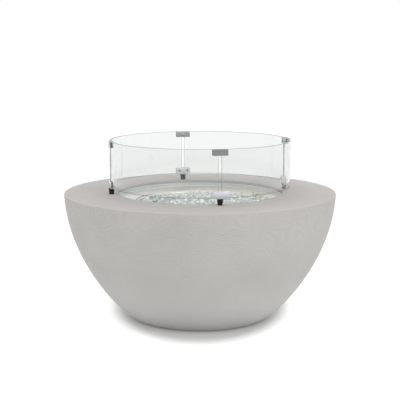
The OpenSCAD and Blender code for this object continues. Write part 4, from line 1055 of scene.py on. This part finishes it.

# The four kinds of plate are one steel. Each is given its own shade as a painted reflection: the top outer
# plates dark, the bottom plates pale.
for level, face, dark, pale in (("top", "outer", srgb(114, 115, 118), srgb(138, 139, 142)),
                                ("top", "inner", srgb(158, 160, 162), srgb(188, 190, 192)),
                                ("bottom", "outer", srgb(202, 204, 212), srgb(228, 230, 237)),
                                ("bottom", "inner", srgb(226, 230, 230), srgb(246, 249, 248))):
    clip_steel_painted_reflection, place = new_finish(f"{level}_{face}_clip_steel")
    satin = mottle(place.node("Mapping", {}, {"Vector": place, "Scale": (60, 60, 1500)}), 1, 3, 0.6)
    clip_marks = mottle(place, 40, 4, 0.6)
    set_surface(clip_steel_painted_reflection,
                Base_Color=mixed(satin * 0.6 + clip_marks * 0.4, dark, pale),
                Metallic=1.0,
                Roughness=0.30 + 0.16 * satin + 0.08 * clip_marks,
                Coat_Weight=0.9,
                Coat_Roughness=0.08,
                Normal=bumped(satin, 0.00006, 0.4))

    plate_r = outer_plate_r if face == "outer" else inner_plate_r - clip_t
    if level == "top":
        clip_w = top_clip_w
        screw_z = top_screw_z
        low_z = pane_top - top_clip_h
        high_z = pane_top
    else:
        clip_w = bottom_clip_w
        screw_z = bottom_screw_z
        low_z = shelf_z if face == "outer" else pane_z + shelf_gap
        high_z = shelf_z + bottom_clip_h
    half_turn = clip_w / 2 / plate_r
    plate = swept("plate", rectangle(plate_r, plate_r + clip_t, low_z, high_z),
                  -half_turn, half_turn, clip_steps)
    select_edges(plate, corner_edges(half_turn))
    bpy.ops.mesh.bevel(offset=clip_round, segments=5)
    bpy.ops.object.mode_set(mode="OBJECT")
    if level == "bottom":
        cut_slant(plate, clip_w / 2, plate_r, -1)
        cut_slant(plate, clip_w / 2, plate_r, 1)
    if level == "bottom" and face == "outer":
        shelf_turn = (clip_w / 2 - slant_w) / plate_r
        shelf = swept("shelf", rectangle(inner_plate_r - clip_t, plate_r + clip_t / 2, shelf_z, pane_z),
                      -shelf_turn, shelf_turn, clip_steps)
        carve(plate, "UNION", shelf)
    if face == "inner":
        for side in (-1, 1):
            sink = outward_drill(sink_r, plate_r - drill_past, plate_r + sink_deep,
                                 side * screw_turn, screw_z)
            carve(plate, "DIFFERENCE", sink)
    bevelled(plate, clip_edge, 2)
    smooth(plate, 35)
    for i, turn in enumerate(seam_turns):
        plate_copy = copies(plate.copy(), f"{level}_{face}_plate_{i + 1}", [around(turn)])
        put_on(clip_steel_painted_reflection, plate_copy)
        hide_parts(f"{level}_clip_{face}_{i + 1}")
        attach(plate_copy, "wind_guard")
    bpy.data.objects.remove(plate)

gasket_silicone, place = new_finish("clear_gasket")
haze = mottle(place, 120, 3, 0.6)
set_surface(gasket_silicone,
            Base_Color=mixed(haze, srgb(214, 219, 218), srgb(236, 238, 237)),
            Roughness=0.3 + 0.2 * haze,
            Transmission_Weight=0.6)
put_on(gasket_silicone, "clip_gaskets")


# Clip screws: machined stainless screws with flat heads and hexagon sockets, driven from inside the guard
# through the inner plates into bosses on the outer ones. Each head sits in a sink with a fine gap round it.
head_r = 0.0049
head_h = 0.0022
head_round = 0.0005
head_proud = 0.0003
socket_r = 0.0017
socket_deep = 0.0014

head_edge = arc_points((head_r - head_round, head_h - head_round), head_round, 0, 90, 3)
head = turned("head", [Vector((0, 0)), Vector((head_r, 0)), *head_edge, Vector((0, head_h))], 40)
socket_low = head_h - socket_deep
socket_high = head_h + cut_overlap
socket = turned("socket", [Vector((0, socket_low)), Vector((socket_r, socket_low)),
                           Vector((socket_r, socket_high)), Vector((0, socket_high))], 6)
carve(head, "DIFFERENCE", socket)
head_places = []
for turn in seam_turns:
    for side in (-1, 1):
        for z in (top_screw_z, bottom_screw_z):
            start_r = inner_plate_r - clip_t - head_proud + head_h
            head_places.append(around(turn + side * screw_turn) @ Matrix.Translation((start_r, 0, z))
                               @ Matrix.Rotation(-math.pi / 2, 4, "Y"))
heads = copies(head, "clip_screw_heads", head_places)
smooth(heads, 35)
put_on(screw_steel, heads)
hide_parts("clip_screws")
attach(heads, "wind_guard")


# Guard feet: tapered feet of moulded black rubber, screwed up under the shelves at the four seams. They
# stand on the deck and hold the glass clear of it.
foot_top_r = 0.012
foot_tip_r = 0.00925
tip_round = 0.0014
top_round = 0.0010
taper_deg = 6
guard_foot_h = foot_boxes[0][1].z - deck_z
tip_edge = arc_points((foot_tip_r - tip_round, tip_round), tip_round, -90, -taper_deg, 5)
top_edge = arc_points((foot_top_r - top_round, guard_foot_h - top_round), top_round, -taper_deg, 90, 5)
foot_outline = [Vector((0, 0)), *tip_edge, *top_edge, Vector((0, guard_foot_h))]
for i, spot in enumerate(foot_places):
    foot = turned(f"rubber_foot_{i + 1}", foot_outline, 64)
    foot.data.transform(Matrix.Translation((spot.x, spot.y, deck_z)))
    smooth(foot, 40)
    put_on(rubber, foot)
    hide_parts(f"guard_foot_{i + 1}")
    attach(foot, "wind_guard")
